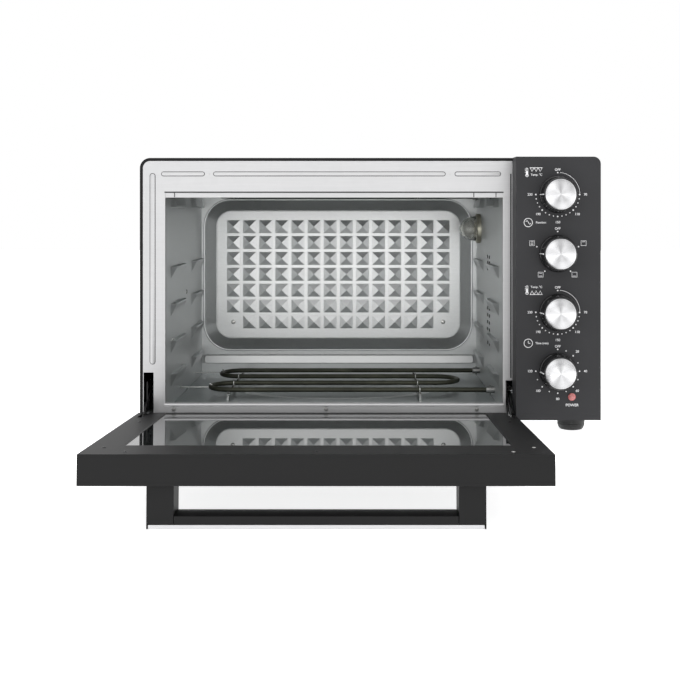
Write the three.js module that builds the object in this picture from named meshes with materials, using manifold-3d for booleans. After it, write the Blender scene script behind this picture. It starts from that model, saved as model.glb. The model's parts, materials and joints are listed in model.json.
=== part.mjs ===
// A countertop toaster oven: sheet-metal casing, pressed cavity, drop-down glass door
// on linked hinges, and a column of four rotary controls beside the opening.
//
// Millimetres. X runs to the right, Y from the front to the back, Z up. The origin is
// the middle of the base pan's underside. The door is modelled shut against its hinge
// axis, then turned down to its stop as one group.
import * as THREE from "three";
import { mergeVertices } from "three/addons/utils/BufferGeometryUtils.js";
import Module from "manifold-3d";

const wasm = await Module();
wasm.setup();

// ---------------------------------------------------------------- driving dimensions
const clearance = 0.3;
const sheet = 0.8;

const bodyWidth = 575;
const bodyHeight = 325;
const bodyDepth = 364;
const coverCorner = 13;
const coverLip = 3.6;

const sideVentCount = 8;
const sideVentDrop = 135;
const sideVentPitch = 12;
const sideVentHeight = 4;
const sideVentStart = 40;
const sideVentLength = 90;
const baseFlange = 12;
const basePadDepth = 2;
const basePadSideMargin = 67.5;
const basePadEndMargin = 57;
const basePadSlope = 6;
const baseVentCount = 6;
const baseVentPitch = 18;
const baseVentWidth = 5;
const baseVentLength = 60;
const backVentInset = 17;
const backVentWidth = 70;
const backBossDepth = 8;
const backBossSideMargin = 20.3;
const backBossEndMargin = 72.5;
const backBossCorner = 16;
const backBossSlope = 8;
const glandInset = 49.5;
const glandZ = 58;
const glandRadius = 9;
const glandNeck = 6.6;
const glandBore = 3.4;
const glandFlange = 4;
const glandLength = 12;
const glandTaper = 2.5;
const glandTail = 6;

const footHeight = 24;
const footRadius = 17.5;
const footTread = 5;
const footRound = 2;
const footInset = 23.5;
const footSetback = 40;

const cavityLeftMargin = 32;
const cavityRightMargin = 11.9;
const cavityFloorZ = 4.5;
const cavityRoofDrop = 35;
const cavityBackGap = 17;

const openingBottomZ = 15.2;
const openingTopDrop = 43.5;
const lipDepth = 11;
const topLipHeight = 6.5;
const screwHeadHeight = 1.6;
const lipScrewRadius = 1.9;
const lipScrewZ = 7.6;
const lipScrewLength = 5;
const lipScrewHead = 3;
const lipScrewInsetLeft = 11;
const lipScrewInsetRight = 33;

const panelWidth = 104.5;
const panelDepth = 36;
const panelWall = 3;
const panelCorner = 9;

const dialInset = 53.2;
const dialCount = 4;
const dialTopDrop = 46.8;
const dialBottomZ = 60.4;
const knobRadius = 23;
const knobFrontRadius = 20.4;
const knobHeight = 23;
const capRadius = 18.6;
const capHeight = 2.6;
const capSink = 1.4;
const knobGap = 0.6;
const shaftRadius = 3;
const shaftReach = 44;
const bushRadius = 5;
const knobFoot = 5;
const knobRound = 1.2;
const shaftTail = 2;
const pointerWidth = 2.2;
const pointerProud = 0.8;
const pointerSetback = 0.6;

const doorThickness = 31;
const doorSideGap = 1;
const doorOpenAngle = 87.5;
const doorBorder = 35.5;
const doorTopBorder = 57;
const doorBottomBorder = 24;
const innerGlassBottomGap = 7;
const glassThickness = 4;
const glassRebate = 6;
const glassInset = 0.8;
const doorRim = 2.5;
const hingeSetback = 11.5;
const hingeAxisZ = -1;
const doorFootGap = 2;

const hingeOffsetLeft = 10.1;
const hingeOffsetRight = 4.6;
const hingeSlotBottomZ = 2.5;
const hingeSlots = {
  left: { from: -6.3, to: 6.3, topZ: 54 },
  right: { from: -2.8, to: 7.8, topZ: 44 },
};
const hingePocketWidth = 6.4;
const hingePocketLength = 46;
const hingePocketDepth = 24;
const hingePlate = 1.4;
const plateGap = 0.5;
const hingeEar = 5.5;
const leafTip = 6.2;
const bracketReach = 22;
const bracketTopZ = 42;
const bracketEarZ = 4.8;
const bracketEarReach = 6;
const bracketEarRise = 12;
const bracketEarTip = 7;
const pinRadius = 2.2;
const linkRadius = 28;
const linkLength = 75;
const linkHeight = 12;
const linkAngleOpen = 25;
const springRadius = 3.5;
const springLength = 150;
const springOffset = 6.4;
const springHookInset = 6;

const handleSideInset = 66.75;
const handleProjection = 44;
const handleDepth = 34;
const handlePostWidth = 27;
const handleBarThickness = 11.5;
const handleTrimThickness = 4.5;
const handleEndEdge = 1.5;
const handleTopInset = 10;
const handleEndLip = 8;
const gripCrown = 3;

const elementRadius = 3.25;
const elementFirstRun = 98;
const elementBackGap = 54;
const elementSideGap = 38;
const elementAboveFloor = 13;
const elementBelowRoof = 10;
const terminalRadius = 5;
const terminalInside = 5;
const terminalOutside = 14;
const wireRadius = 1.4;
const wireOverhang = 12;
const wireInsetLeft = 69.5;
const wireInsetRight = 100;

const traySideMargin = 4.4;
const trayShift = -1.5;
const trayBottomZ = 41.15;
const trayTopGap = 13.15;
const trayCorner = 42;
const trayDepth = 15;
const traySlope = 18.5;
const pyramidBorderX = 13;
const pyramidBorderZ = 12;
const pyramidPitchX = 25.3;
const pyramidPitchZ = 24.9;
const pyramidSide = 23.2;
const pyramidHeight = 2.9;
const backRibZ = 28.2;
const backRibHeight = 14;
const backRibDepth = 5;
const backRibTilt = 0.22;
const backRibInset = 3.5;
const backRibCorner = 5;
const backRibRound = 1.5;

const backScrewRadius = 1.5;
const backScrewLength = 3.5;
const backScrewHead = 3.4;

const slotRows = [
  { first: 176.7, pitch: 8.5, count: 3 },
  { first: 72, pitch: 9.86, count: 7 },
];
const slotLength = 18.5;
const slotPairPitch = 22.5;
const slotHeight = 5.2;
const slotSetback = 170;

const railHeights = [42.5, 86, 134.5, 183];
const railProjection = 6;
const railLedge = 2.5;
const railDrop = 17;
const railEndSlope = 12;
const pocketTopDrop = 27;
const railStart = 44;
const railEndGap = 11;
const railBreakStart = 155;
const railBreakEnd = 233;

const lampBackGap = 61;
const lampDrop = 58;
const lampFlangeRadius = 22;
const lampFlangeDepth = 7;
const lampDomeRadius = 18.5;
const lampDomeHeight = 24;
const lampNeckRadius = 14;
const lampNeckLength = 24;
const lampSides = 28;
const lampSeatWall = 1.6;
const lampSeatDepth = 3;

const indicatorInset = 35.9;
const indicatorZ = 29;
const indicatorRadius = 4.3;
const indicatorRim = 0.9;
const indicatorDome = 2;
const indicatorLength = 8;

// ------------------------------------------------------------------- derived places
const halfWidth = bodyWidth / 2;
const frontY = -bodyDepth / 2;
const backY = bodyDepth / 2;
const panelLeft = halfWidth - panelWidth;
const cavityLeft = -halfWidth + cavityLeftMargin;
const cavityRight = panelLeft - cavityRightMargin;
const cavityDepth = bodyDepth - cavityBackGap;
const cavityBackY = frontY + cavityDepth;
const cavityRoofZ = bodyHeight - cavityRoofDrop;
const openingTopZ = bodyHeight - openingTopDrop;
const sideVentZ = bodyHeight - sideVentDrop;
const pocketTopZ = cavityRoofZ - pocketTopDrop;
const railEnd = cavityDepth - railEndGap;
const panelFrontY = frontY - panelDepth;
const dialX = halfWidth - dialInset;
const dialTopZ = bodyHeight - dialTopDrop;
const dialPitch = (dialTopZ - dialBottomZ) / (dialCount - 1);
const indicatorX = halfWidth - indicatorInset;
const doorLeft = -halfWidth + doorSideGap;
const doorRight = panelLeft - doorSideGap;
const doorCentreX = (doorLeft + doorRight) / 2;
const hingeY = frontY - hingeSetback;
const hingeLeftX = doorLeft + hingeOffsetLeft;
const hingeRightX = doorRight - hingeOffsetRight;
const doorBack = hingeSetback - (panelDepth - doorThickness);
const doorFront = doorBack - doorThickness;
const doorBottom = doorFootGap;
const doorTop = bodyHeight - hingeAxisZ;

const frameInset = coverLip + clearance;
const lipScrewXs = [
  cavityLeft + lipScrewInsetLeft, doorCentreX, cavityRight - lipScrewInsetRight];
const glandX = halfWidth - glandInset;
const elementHeights = [cavityFloorZ + elementAboveFloor, cavityRoofZ - elementBelowRoof];
const elementRunPitch = (cavityDepth - elementFirstRun - elementBackGap) / 3;

const trayTopZ = cavityRoofZ - trayTopGap;
const trayWidth = cavityRight - cavityLeft - 2 * traySideMargin;
const trayHeight = trayTopZ - trayBottomZ;
const trayCentreX = (cavityLeft + cavityRight) / 2 + trayShift;
const trayCentreZ = (trayBottomZ + trayTopZ) / 2;
const pyramidColumns = Math.floor(
  (trayWidth - 2 * (traySlope + pyramidBorderX)) / pyramidPitchX);
const pyramidRows = Math.floor(
  (trayHeight - 2 * (traySlope + pyramidBorderZ)) / pyramidPitchZ);
const lampY = cavityBackY - lampBackGap;
const lampZ = cavityRoofZ - lampDrop;

// ------------------------------------------------------------------------ materials
const finish = (color, roughness, metalness) =>
  new THREE.MeshStandardMaterial({ color, roughness, metalness });

const blackPaint = finish(0x232325, 0.45, 0.2);
const charcoal = finish(0x38383a, 0.5, 0.1);
const galvanised = finish(0xc4c8c8, 0.35, 0.9);
const brightSteel = finish(0xe2e2e4, 0.3, 0.85);
const darkSteel = finish(0x6b6c6a, 0.45, 0.8);
const aluminium = finish(0xd9dadc, 0.28, 0.95);
const sheathed = finish(0x3d3f33, 0.55, 0.5);
const rubber = finish(0x161616, 0.85, 0);
const resin = finish(0xd8d2c0, 0.6, 0);
const redLens = finish(0xc8615c, 0.25, 0);
const clearGlass = new THREE.MeshStandardMaterial({
  color: 0xb9c4c2, roughness: 0.05, metalness: 0, transparent: true, opacity: 0.35,
});
const tintedGlass = new THREE.MeshStandardMaterial({
  color: 0x2a3030, roughness: 0.04, metalness: 0.1, transparent: true, opacity: 0.6,
});

// ------------------------------------------------------------------ geometry helpers
const radians = THREE.MathUtils.degToRad;

/** A closed three.js geometry as a solid, its faces turned to point outwards. */
function solid(geometry) {
  const bare = geometry.clone();
  bare.deleteAttribute("normal");
  bare.deleteAttribute("uv");
  const merged = mergeVertices(bare, 1e-4);
  const build = (triVerts) => new wasm.Manifold(new wasm.Mesh({
    numProp: 3,
    vertProperties: Float32Array.from(merged.attributes.position.array),
    triVerts: Uint32Array.from(triVerts),
  }));
  const body = build(merged.index.array);
  return body.volume() < 0 ? build(merged.index.array.slice().reverse()) : body;
}

/** A solid as a three.js geometry. */
function geometryOf(manifold) {
  const mesh = manifold.getMesh();
  const geometry = new THREE.BufferGeometry();
  geometry.setAttribute("position", new THREE.BufferAttribute(mesh.vertProperties, 3));
  geometry.setIndex(new THREE.BufferAttribute(mesh.triVerts, 1));
  geometry.computeVertexNormals();
  return geometry;
}

const join = (parts) => parts.reduce((whole, part) => whole.add(part));
const cutAll = (body, tools) => tools.reduce((left, tool) => left.subtract(tool), body);

/** A box from its two extents along each axis. */
function box([x0, x1], [y0, y1], [z0, z1]) {
  const geometry = new THREE.BoxGeometry(x1 - x0, y1 - y0, z1 - z0);
  geometry.translate((x0 + x1) / 2, (y0 + y1) / 2, (z0 + z1) / 2);
  return solid(geometry);
}

/** A rounded rectangle between two extents, as a shape. */
function roundedRectangle([x0, x1], [y0, y1], radius) {
  const shape = new THREE.Shape();
  shape.absarc(x1 - radius, y0 + radius, radius, -Math.PI / 2, 0);
  shape.absarc(x1 - radius, y1 - radius, radius, 0, Math.PI / 2);
  shape.absarc(x0 + radius, y1 - radius, radius, Math.PI / 2, Math.PI);
  shape.absarc(x0 + radius, y0 + radius, radius, Math.PI, 1.5 * Math.PI);
  shape.closePath();
  return shape;
}

/** An inverted U outline with rounded top corners, from its half width and top. */
function archOutline(left, right, bottom, top, radius) {
  const shape = new THREE.Shape();
  shape.moveTo(left, bottom);
  shape.lineTo(right, bottom);
  shape.absarc(right - radius, top - radius, radius, 0, Math.PI / 2);
  shape.absarc(left + radius, top - radius, radius, Math.PI / 2, Math.PI);
  shape.closePath();
  return shape;
}

/** A shape drawn in X and Z, given thickness along Y. */
function alongY(shape, y0, y1, curveSegments = 6) {
  const options = { depth: y1 - y0, bevelEnabled: false, curveSegments };
  const geometry = new THREE.ExtrudeGeometry(shape, options);
  geometry.rotateX(Math.PI / 2);
  geometry.translate(0, y1, 0);
  return solid(geometry);
}

/** A shape drawn in Y and Z, given thickness along X. */
function alongX(shape, x0, x1, curveSegments = 4) {
  const options = { depth: x1 - x0, bevelEnabled: false, curveSegments };
  const geometry = new THREE.ExtrudeGeometry(shape, options);
  geometry.applyMatrix4(new THREE.Matrix4().set(
    0, 0, 1, x0,
    1, 0, 0, 0,
    0, 1, 0, 0,
    0, 0, 0, 1));
  return solid(geometry);
}

/** A solid turned about the Y axis from [radius, y] points that start and end on it. */
function turned(profile, sides = 24) {
  const points = profile.map(([radius, y]) => new THREE.Vector2(radius, y));
  return solid(new THREE.LatheGeometry(points, sides));
}

const toAxisX = (manifold) => manifold.rotate([0, 0, -90]);
const toAxisZ = (manifold) => manifold.rotate([90, 0, 0]);

/** A plain cylinder along Y, X or Z between two stations. */
const rodProfile = (radius, a, b) => [[0, a], [radius, a], [radius, b], [0, b]];
const rodY = (radius, x, z, y0, y1, sides = 16) =>
  turned(rodProfile(radius, y0, y1), sides).translate([x, 0, z]);
const rodX = (radius, y, z, x0, x1, sides = 16) =>
  toAxisX(turned(rodProfile(radius, x0, x1), sides)).translate([0, y, z]);
const rodZ = (radius, x, y, z0, z1, sides = 16) =>
  toAxisZ(turned(rodProfile(radius, z0, z1), sides)).translate([x, y, 0]);

/** A convex solid through a stack of closed loops, each with the same point count. */
function loft(loops) {
  const count = loops[0].length;
  const positions = loops.flat().flatMap((point) => point.toArray());
  const index = [];
  for (let ring = 0; ring + 1 < loops.length; ring += 1) {
    for (let step = 0; step < count; step += 1) {
      const a = ring * count + step;
      const b = ring * count + ((step + 1) % count);
      index.push(a, b, b + count, a, b + count, a + count);
    }
  }
  const last = (loops.length - 1) * count;
  for (let step = 1; step + 1 < count; step += 1) {
    index.push(0, step + 1, step);
    index.push(last, last + step, last + step + 1);
  }
  const geometry = new THREE.BufferGeometry();
  geometry.setAttribute("position", new THREE.Float32BufferAttribute(positions, 3));
  geometry.setIndex(index);
  return solid(geometry);
}

/** The corner points of a rounded rectangle in X and Z, lying at one depth. */
function loopAt(shape, y) {
  return shape.getPoints(4).slice(0, -1).map((point) => new THREE.Vector3(point.x, y, point.y));
}

/** A round bar along a path, its section an even-sided polygon. */
function bar(path, radius, steps, sides = 8) {
  const section = new THREE.Shape();
  section.absarc(0, 0, radius, 0, 2 * Math.PI);
  const curveSegments = sides / 2;
  const options = { steps, curveSegments, extrudePath: path, bevelEnabled: false };
  return solid(new THREE.ExtrudeGeometry(section, options));
}

/** A level bend between two headings, turning about a centre. */
class Bend extends THREE.Curve {
  constructor(centre, radius, from, to) {
    super();
    Object.assign(this, { centre, radius, from, to });
  }

  getPoint(t, target = new THREE.Vector3()) {
    const angle = THREE.MathUtils.lerp(this.from, this.to, t);
    return target.set(
      this.centre.x + this.radius * Math.cos(angle),
      this.centre.y + this.radius * Math.sin(angle),
      this.centre.z);
  }
}

const oven = new THREE.Group();
oven.name = "toaster_oven";

/** Adds one named piece to a group. */
function piece(name, body, material, parent = oven) {
  const mesh = new THREE.Mesh(geometryOf(body), material);
  mesh.name = name;
  parent.add(mesh);
  return mesh;
}

// --------------------------------------------------------------------------- casing
function outerCover() {
  const outer = archOutline(-halfWidth, halfWidth, clearance, bodyHeight, coverCorner);
  const inner = archOutline(
    -halfWidth + sheet, halfWidth - sheet, -1, bodyHeight - sheet,
    coverCorner - sheet);
  const lip = archOutline(
    -halfWidth + coverLip, halfWidth - coverLip, -1, bodyHeight - coverLip,
    coverCorner - coverLip);
  const shell = alongY(outer, frontY, backY)
    .subtract(alongY(lip, frontY - 1, frontY + sheet + 0.01))
    .subtract(alongY(inner, frontY + sheet, backY + 1));
  const slots = Array.from({ length: sideVentCount }, (_, row) => {
    const z = sideVentZ + row * sideVentPitch;
    return box(
      [halfWidth - 2 * sheet, halfWidth + 1],
      [sideVentStart, sideVentStart + sideVentLength],
      [z, z + sideVentHeight]);
  });
  return cutAll(shell, slots);
}

/** One level loop of the base pan's pressed pad, shrunk by an inset. */
function padLoop(inset, z) {
  const reachX = halfWidth - basePadSideMargin - inset;
  const reachY = bodyDepth / 2 - basePadEndMargin - inset;
  return [[-1, -1], [1, -1], [1, 1], [-1, 1]]
    .map(([x, y]) => new THREE.Vector3(x * reachX, y * reachY, z));
}

function basePan() {
  const halfPan = halfWidth - sheet - clearance;
  const y0 = frontY + 2 * sheet + 2 * clearance;
  const y1 = backY - sheet - 2 * clearance;
  const plate = box([-halfPan, halfPan], [y0, y1], [basePadDepth, basePadDepth + sheet]);
  const flanges = [
    box([-halfPan, -halfPan + sheet], [y0, y1], [basePadDepth, baseFlange]),
    box([halfPan - sheet, halfPan], [y0, y1], [basePadDepth, baseFlange]),
  ];
  const ventX = (panelLeft + halfWidth - baseVentLength) / 2;
  const vents = Array.from({ length: baseVentCount }, (_, row) => {
    const y = (row - baseVentCount / 2) * baseVentPitch;
    return box([ventX, ventX + baseVentLength], [y, y + baseVentWidth], [-1, baseFlange]);
  });
  const pad = loft([padLoop(0, basePadDepth + sheet / 2), padLoop(basePadSlope, 0)]);
  const hollow = loft([
    padLoop(sheet, 2 * basePadDepth + sheet), padLoop(basePadSlope + sheet, sheet)]);
  return cutAll(join([plate, ...flanges, pad]).subtract(hollow), vents);
}

/** One loop of the back cover's raised boss, shrunk by an inset. */
function bossLoop(inset, y) {
  const centreX = (cavityLeft + cavityRight) / 2;
  const centreZ = bodyHeight / 2;
  const reachX = (cavityRight - cavityLeft) / 2 - backBossSideMargin - inset;
  const reachZ = bodyHeight / 2 - backBossEndMargin - inset;
  return loopAt(roundedRectangle(
    [centreX - reachX, centreX + reachX], [centreZ - reachZ, centreZ + reachZ],
    backBossCorner - inset / 2), y);
}

function backCover() {
  const inset = sheet + clearance;
  const outline = archOutline(
    -halfWidth + inset, halfWidth - inset, inset, bodyHeight - inset, coverCorner - inset);
  const boss = loft([
    bossLoop(0, backY - sheet / 2), bossLoop(backBossSlope, backY + backBossDepth)]);
  const hollow = loft([
    bossLoop(sheet, backY - 2 * sheet),
    bossLoop(backBossSlope + sheet, backY + backBossDepth - sheet)]);
  const vents = Array.from({ length: sideVentCount }, (_, row) => {
    const z = sideVentZ + row * sideVentPitch;
    return box(
      [halfWidth - backVentInset - backVentWidth, halfWidth - backVentInset],
      [backY - 2 * sheet, backY + 1], [z, z + sideVentHeight]);
  });
  const glandHole = rodY(glandNeck + clearance, glandX, glandZ, backY - 5, backY + 5, 20);
  const plate = alongY(outline, backY - sheet, backY);
  return cutAll(plate.add(boss).subtract(hollow), [...vents, glandHole]);
}

function frontFrame() {
  const right = panelLeft + panelWall;
  const top = bodyHeight - frameInset;
  const left = -halfWidth + frameInset;
  const outline = new THREE.Shape();
  outline.moveTo(left, clearance);
  outline.lineTo(right, clearance);
  outline.lineTo(right, top);
  outline.absarc(left + coverCorner - frameInset, top - coverCorner + frameInset,
    coverCorner - frameInset, Math.PI / 2, Math.PI);
  outline.closePath();
  const plate = alongY(outline, frontY, frontY + sheet);
  const opening = box(
    [cavityLeft, cavityRight], [frontY - 5, frontY + 5], [openingBottomZ, openingTopZ]);
  const topLip = box(
    [cavityLeft, cavityRight], [frontY + sheet, frontY + lipDepth],
    [openingTopZ - topLipHeight, openingTopZ + sheet]);
  const bottomLip = box(
    [cavityLeft, cavityRight], [frontY, frontY + lipDepth],
    [openingBottomZ - sheet, openingBottomZ]);
  const slots = [[hingeLeftX, hingeSlots.left], [hingeRightX, hingeSlots.right]]
    .map(([x, { from, to, topZ }]) => box(
      [x + from, x + to], [frontY - 5, frontY + 5], [hingeSlotBottomZ, topZ]));
  const screwHoles = lipScrewXs.map((x) => rodY(
    lipScrewRadius + 2 * clearance, x, lipScrewZ, frontY - 5, frontY + 5, 12));
  return cutAll(join([plate.subtract(opening), topLip, bottomLip]), [...slots, ...screwHoles]);
}

function smallScrew(radius, length, headRadius) {
  return turned([
    [0, -screwHeadHeight], [headRadius * 0.7, -screwHeadHeight + 0.1],
    [headRadius, -0.3 * screwHeadHeight], [headRadius, 0],
    [radius, 0], [radius, length], [0, length],
  ], 12);
}

piece("outer_cover", outerCover(), blackPaint);
piece("base_pan", basePan(), galvanised);
piece("back_cover", backCover(), blackPaint);
piece("front_frame", frontFrame(), brightSteel);
lipScrewXs.forEach((x, order) => {
  const shape = smallScrew(lipScrewRadius, lipScrewLength, lipScrewHead);
  const screw = piece(`lip_screw_${order + 1}`, shape, darkSteel);
  screw.position.set(x, frontY - clearance, lipScrewZ);
});

// --------------------------------------------------------------------------- cavity
const wallFrontY = frontY + lipDepth + clearance;
/** One pressed ledge: level on one side, sloping back into the wall on the others. */
function ledge(x, direction, [start, end], z, slope) {
  const loop = (across, y0, y1, z1) => [[y0, z], [y1, z], [y1, z1], [y0, z1]]
    .map(([along, up]) => new THREE.Vector3(across, frontY + along, up));
  return loft([
    loop(x - direction * sheet / 2, start, end, z + slope),
    loop(x + direction * railProjection, start + railEndSlope, end - railEndSlope,
      z + Math.sign(slope) * railLedge),
  ]);
}

/** The pressed rails of one side wall, standing out towards the middle. */
function rails(x, direction) {
  const spans = [[railStart, railBreakStart], [railBreakEnd, railEnd]];
  const header = cavityRoofZ - clearance - pocketTopZ;
  return spans.flatMap((span) => [
    ledge(x, direction, span, pocketTopZ, header),
    ...railHeights.map((z) => ledge(x, direction, span, z + railLedge, -railDrop)),
  ]);
}

function cavitySideWall(x, direction) {
  const outside = x - direction * sheet;
  const wall = box(
    [Math.min(x, outside), Math.max(x, outside)],
    [wallFrontY, cavityBackY - clearance], [cavityFloorZ + clearance, cavityRoofZ - clearance]);
  return join([wall, ...rails(x, direction)]);
}

function cavityRightWall() {
  const slotStarts = [-1, 1].map((side) =>
    frontY + slotSetback + (side * slotPairPitch - slotLength) / 2);
  const slots = slotRows.flatMap(({ first, pitch, count }) =>
    Array.from({ length: count }, (_, row) => first + row * pitch).flatMap((z) =>
      slotStarts.map((y) => box(
        [cavityRight - 2, cavityRight + 3], [y, y + slotLength],
        [z - slotHeight / 2, z + slotHeight / 2]))));
  const holeStart = cavityRight - railProjection - 1;
  const lampHole = rodX(lampNeckRadius + clearance, lampY, lampZ, holeStart, cavityRight + 3);
  const lampSeat = rodX(
    lampFlangeRadius + 2 * clearance, lampY, lampZ, holeStart, cavityRight, lampSides);
  const terminals = [elementRunY(0), elementRunY(3)].flatMap((y) => elementHeights.map((z) =>
    rodX(terminalRadius + clearance, y, z, holeStart, cavityRight + 3)));
  return cutAll(cavitySideWall(cavityRight, -1), [...slots, lampHole, lampSeat, ...terminals]);
}

function cavityFloor() {
  const x = [cavityLeft - sheet, cavityRight + sheet];
  return box(x, [wallFrontY, cavityBackY - clearance], [cavityFloorZ - sheet, cavityFloorZ]);
}

function cavityRoof() {
  const x = [cavityLeft - sheet, cavityRight + sheet];
  return box(x, [frontY + 2 * sheet, cavityBackY - clearance], [cavityRoofZ, cavityRoofZ + sheet]);
}

function pyramidX(column) {
  return trayCentreX + (column - (pyramidColumns - 1) / 2) * pyramidPitchX;
}

function pyramidZ(row) {
  return trayCentreZ + (row - (pyramidRows - 1) / 2) * pyramidPitchZ;
}

/** A tapered block between the tray's mouth and its floor, grown by a margin. */
function trayBlock(margin, frontDepth, backDepth) {
  const reach = (inset) => roundedRectangle(
    [trayCentreX - trayWidth / 2 + inset - margin, trayCentreX + trayWidth / 2 - inset + margin],
    [trayCentreZ - trayHeight / 2 + inset - margin, trayCentreZ + trayHeight / 2 - inset + margin],
    trayCorner - inset + margin);
  return loft([
    loopAt(reach(0), cavityBackY + frontDepth),
    loopAt(reach(traySlope), cavityBackY + backDepth),
  ]);
}

function cavityBackWall() {
  const plate = box(
    [cavityLeft - sheet, cavityRight + sheet], [cavityBackY, cavityBackY + sheet],
    [cavityFloorZ - sheet, cavityRoofZ + sheet]);
  const shell = plate
    .add(trayBlock(sheet, 0.4, trayDepth + sheet))
    .subtract(trayBlock(0, -0.01, trayDepth));
  const facets = [];
  for (let row = 0; row < pyramidRows; row += 1) {
    for (let column = 0; column < pyramidColumns; column += 1) {
      const screwSpot = row === 0 && (column === 0 || column === pyramidColumns - 1);
      if (!screwSpot) {
        const cone = new THREE.ConeGeometry(pyramidSide / Math.SQRT2, pyramidHeight + 0.4, 4);
        cone.rotateY(Math.PI / 4);
        cone.rotateX(Math.PI);
        cone.translate(
          pyramidX(column), cavityBackY + trayDepth - pyramidHeight / 2 + 0.2, pyramidZ(row));
        facets.push(solid(cone));
      }
    }
  }
  const ribLoop = (inset, y, tilt) => loopAt(roundedRectangle(
    [cavityLeft + backRibInset + inset, cavityRight - backRibInset - inset],
    [backRibZ - backRibHeight / 2 + inset, backRibZ + backRibHeight / 2 - inset],
    backRibCorner - inset), y).map((point) => point.setY(y + tilt * (point.z - backRibZ)));
  const rib = loft([
    ribLoop(backRibRound, cavityBackY - backRibDepth, backRibTilt), ribLoop(0, cavityBackY + 0.4, 0)]);
  const screwHoles = backScrewXs.map((x) => rodY(
    backScrewRadius + 2 * clearance, x, backScrewZ, cavityBackY, cavityBackY + trayDepth + 5, 12));
  return cutAll(join([shell, ...facets, rib]), screwHoles);
}

// ------------------------------------------------------------------ heating elements
function elementRunY(run) {
  return frontY + elementFirstRun + run * elementRunPitch;
}

/** Four level runs joined by three half turns, both ends through the right wall. */
function heatingElement(z) {
  const bendRadius = elementRunPitch / 2;
  const left = cavityLeft + elementSideGap + elementRadius + bendRadius;
  const right = cavityRight - elementSideGap - elementRadius - bendRadius;
  const end = cavityRight + terminalOutside;
  const path = new THREE.CurvePath();
  const at = (x, run) => new THREE.Vector3(x, elementRunY(run), z);
  const centre = (x, run) => new THREE.Vector3(x, elementRunY(run) + bendRadius, z);
  path.add(new THREE.LineCurve3(at(end, 0), at(left, 0)));
  path.add(new Bend(centre(left, 0), bendRadius, 1.5 * Math.PI, 0.5 * Math.PI));
  path.add(new THREE.LineCurve3(at(left, 1), at(right, 1)));
  path.add(new Bend(centre(right, 1), bendRadius, -0.5 * Math.PI, 0.5 * Math.PI));
  path.add(new THREE.LineCurve3(at(right, 2), at(left, 2)));
  path.add(new Bend(centre(left, 2), bendRadius, 1.5 * Math.PI, 0.5 * Math.PI));
  path.add(new THREE.LineCurve3(at(left, 3), at(end, 3)));
  const ferrules = [0, 3].map((run) => rodX(
    terminalRadius, elementRunY(run), z,
    cavityRight - terminalInside, cavityRight + terminalOutside - 4));
  return join([bar(path, elementRadius, 96), ...ferrules]);
}

/** A wire staple across the runs, its two legs standing on the nearest sheet. */
function supportWire(x, elementZ, anchorZ) {
  const side = Math.sign(anchorZ - elementZ);
  const near = elementZ + side * (elementRadius + clearance);
  const far = near + side * 2 * wireRadius;
  const foot = anchorZ - side * clearance;
  const y0 = elementRunY(0) - wireOverhang;
  const y1 = elementRunY(3) + wireOverhang;
  const wire = 2 * wireRadius;
  const staple = new THREE.Shape([
    [y0, near], [y1, near], [y1, foot], [y1 - wire, foot],
    [y1 - wire, far], [y0 + wire, far], [y0 + wire, foot], [y0, foot],
  ].map(([y, z]) => new THREE.Vector2(y, z)));
  return alongX(staple, x - wireRadius, x + wireRadius);
}

const backScrewXs = [0, pyramidColumns - 1].map(pyramidX);
const backScrewZ = pyramidZ(0);

piece("cavity_left_wall", cavitySideWall(cavityLeft, 1), galvanised);
piece("cavity_right_wall", cavityRightWall(), galvanised);
piece("cavity_floor", cavityFloor(), galvanised);
piece("cavity_roof", cavityRoof(), galvanised);
piece("cavity_back_wall", cavityBackWall(), galvanised);
backScrewXs.forEach((x, order) => {
  const shape = smallScrew(backScrewRadius, backScrewLength, backScrewHead);
  const screw = piece(`back_wall_screw_${order + 1}`, shape, brightSteel);
  screw.position.set(x, cavityBackY + trayDepth - clearance, backScrewZ);
});
[["lower", elementHeights[0], cavityFloorZ], ["upper", elementHeights[1], cavityRoofZ]]
  .forEach(([level, elementZ, anchorZ]) => {
    piece(`${level}_heating_element`, heatingElement(elementZ), sheathed);
    piece(`${level}_support_wire_left`,
      supportWire(cavityLeft + wireInsetLeft, elementZ, anchorZ), brightSteel);
    piece(`${level}_support_wire_right`,
      supportWire(cavityRight - wireInsetRight, elementZ, anchorZ), brightSteel);
  });

// ----------------------------------------------------------------------- oven light
function lampHolder() {
  const flangeFace = -lampFlangeDepth - clearance;
  const body = toAxisX(turned([
    [0, -lampSeatDepth + 0.5], [lampDomeRadius - 1, -lampSeatDepth + 0.5],
    [lampDomeRadius + 2 * clearance, flangeFace],
    [lampFlangeRadius - 2, flangeFace], [lampFlangeRadius, flangeFace + 2],
    [lampFlangeRadius, -clearance], [lampNeckRadius, -clearance],
    [lampNeckRadius, lampNeckLength], [0, lampNeckLength],
  ], lampSides));
  return body;
}

function lampGlass() {
  const profile = [[0, -lampSeatDepth]];
  const seat = -lampFlangeDepth;
  profile.push([lampDomeRadius - lampSeatWall, -lampSeatDepth]);
  profile.push([lampDomeRadius, seat]);
  for (let step = 1; step <= 6; step += 1) {
    const angle = step * Math.PI / 12;
    profile.push([
      step === 6 ? 0 : lampDomeRadius * Math.cos(angle),
      seat - lampDomeHeight * Math.sin(angle),
    ]);
  }
  return toAxisX(turned(profile.reverse(), 24));
}

const lampPlace = [cavityRight, lampY, lampZ];
piece("lamp_holder", lampHolder(), resin).position.set(...lampPlace);
piece("lamp_glass", lampGlass(), clearGlass).position.set(...lampPlace);

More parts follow.
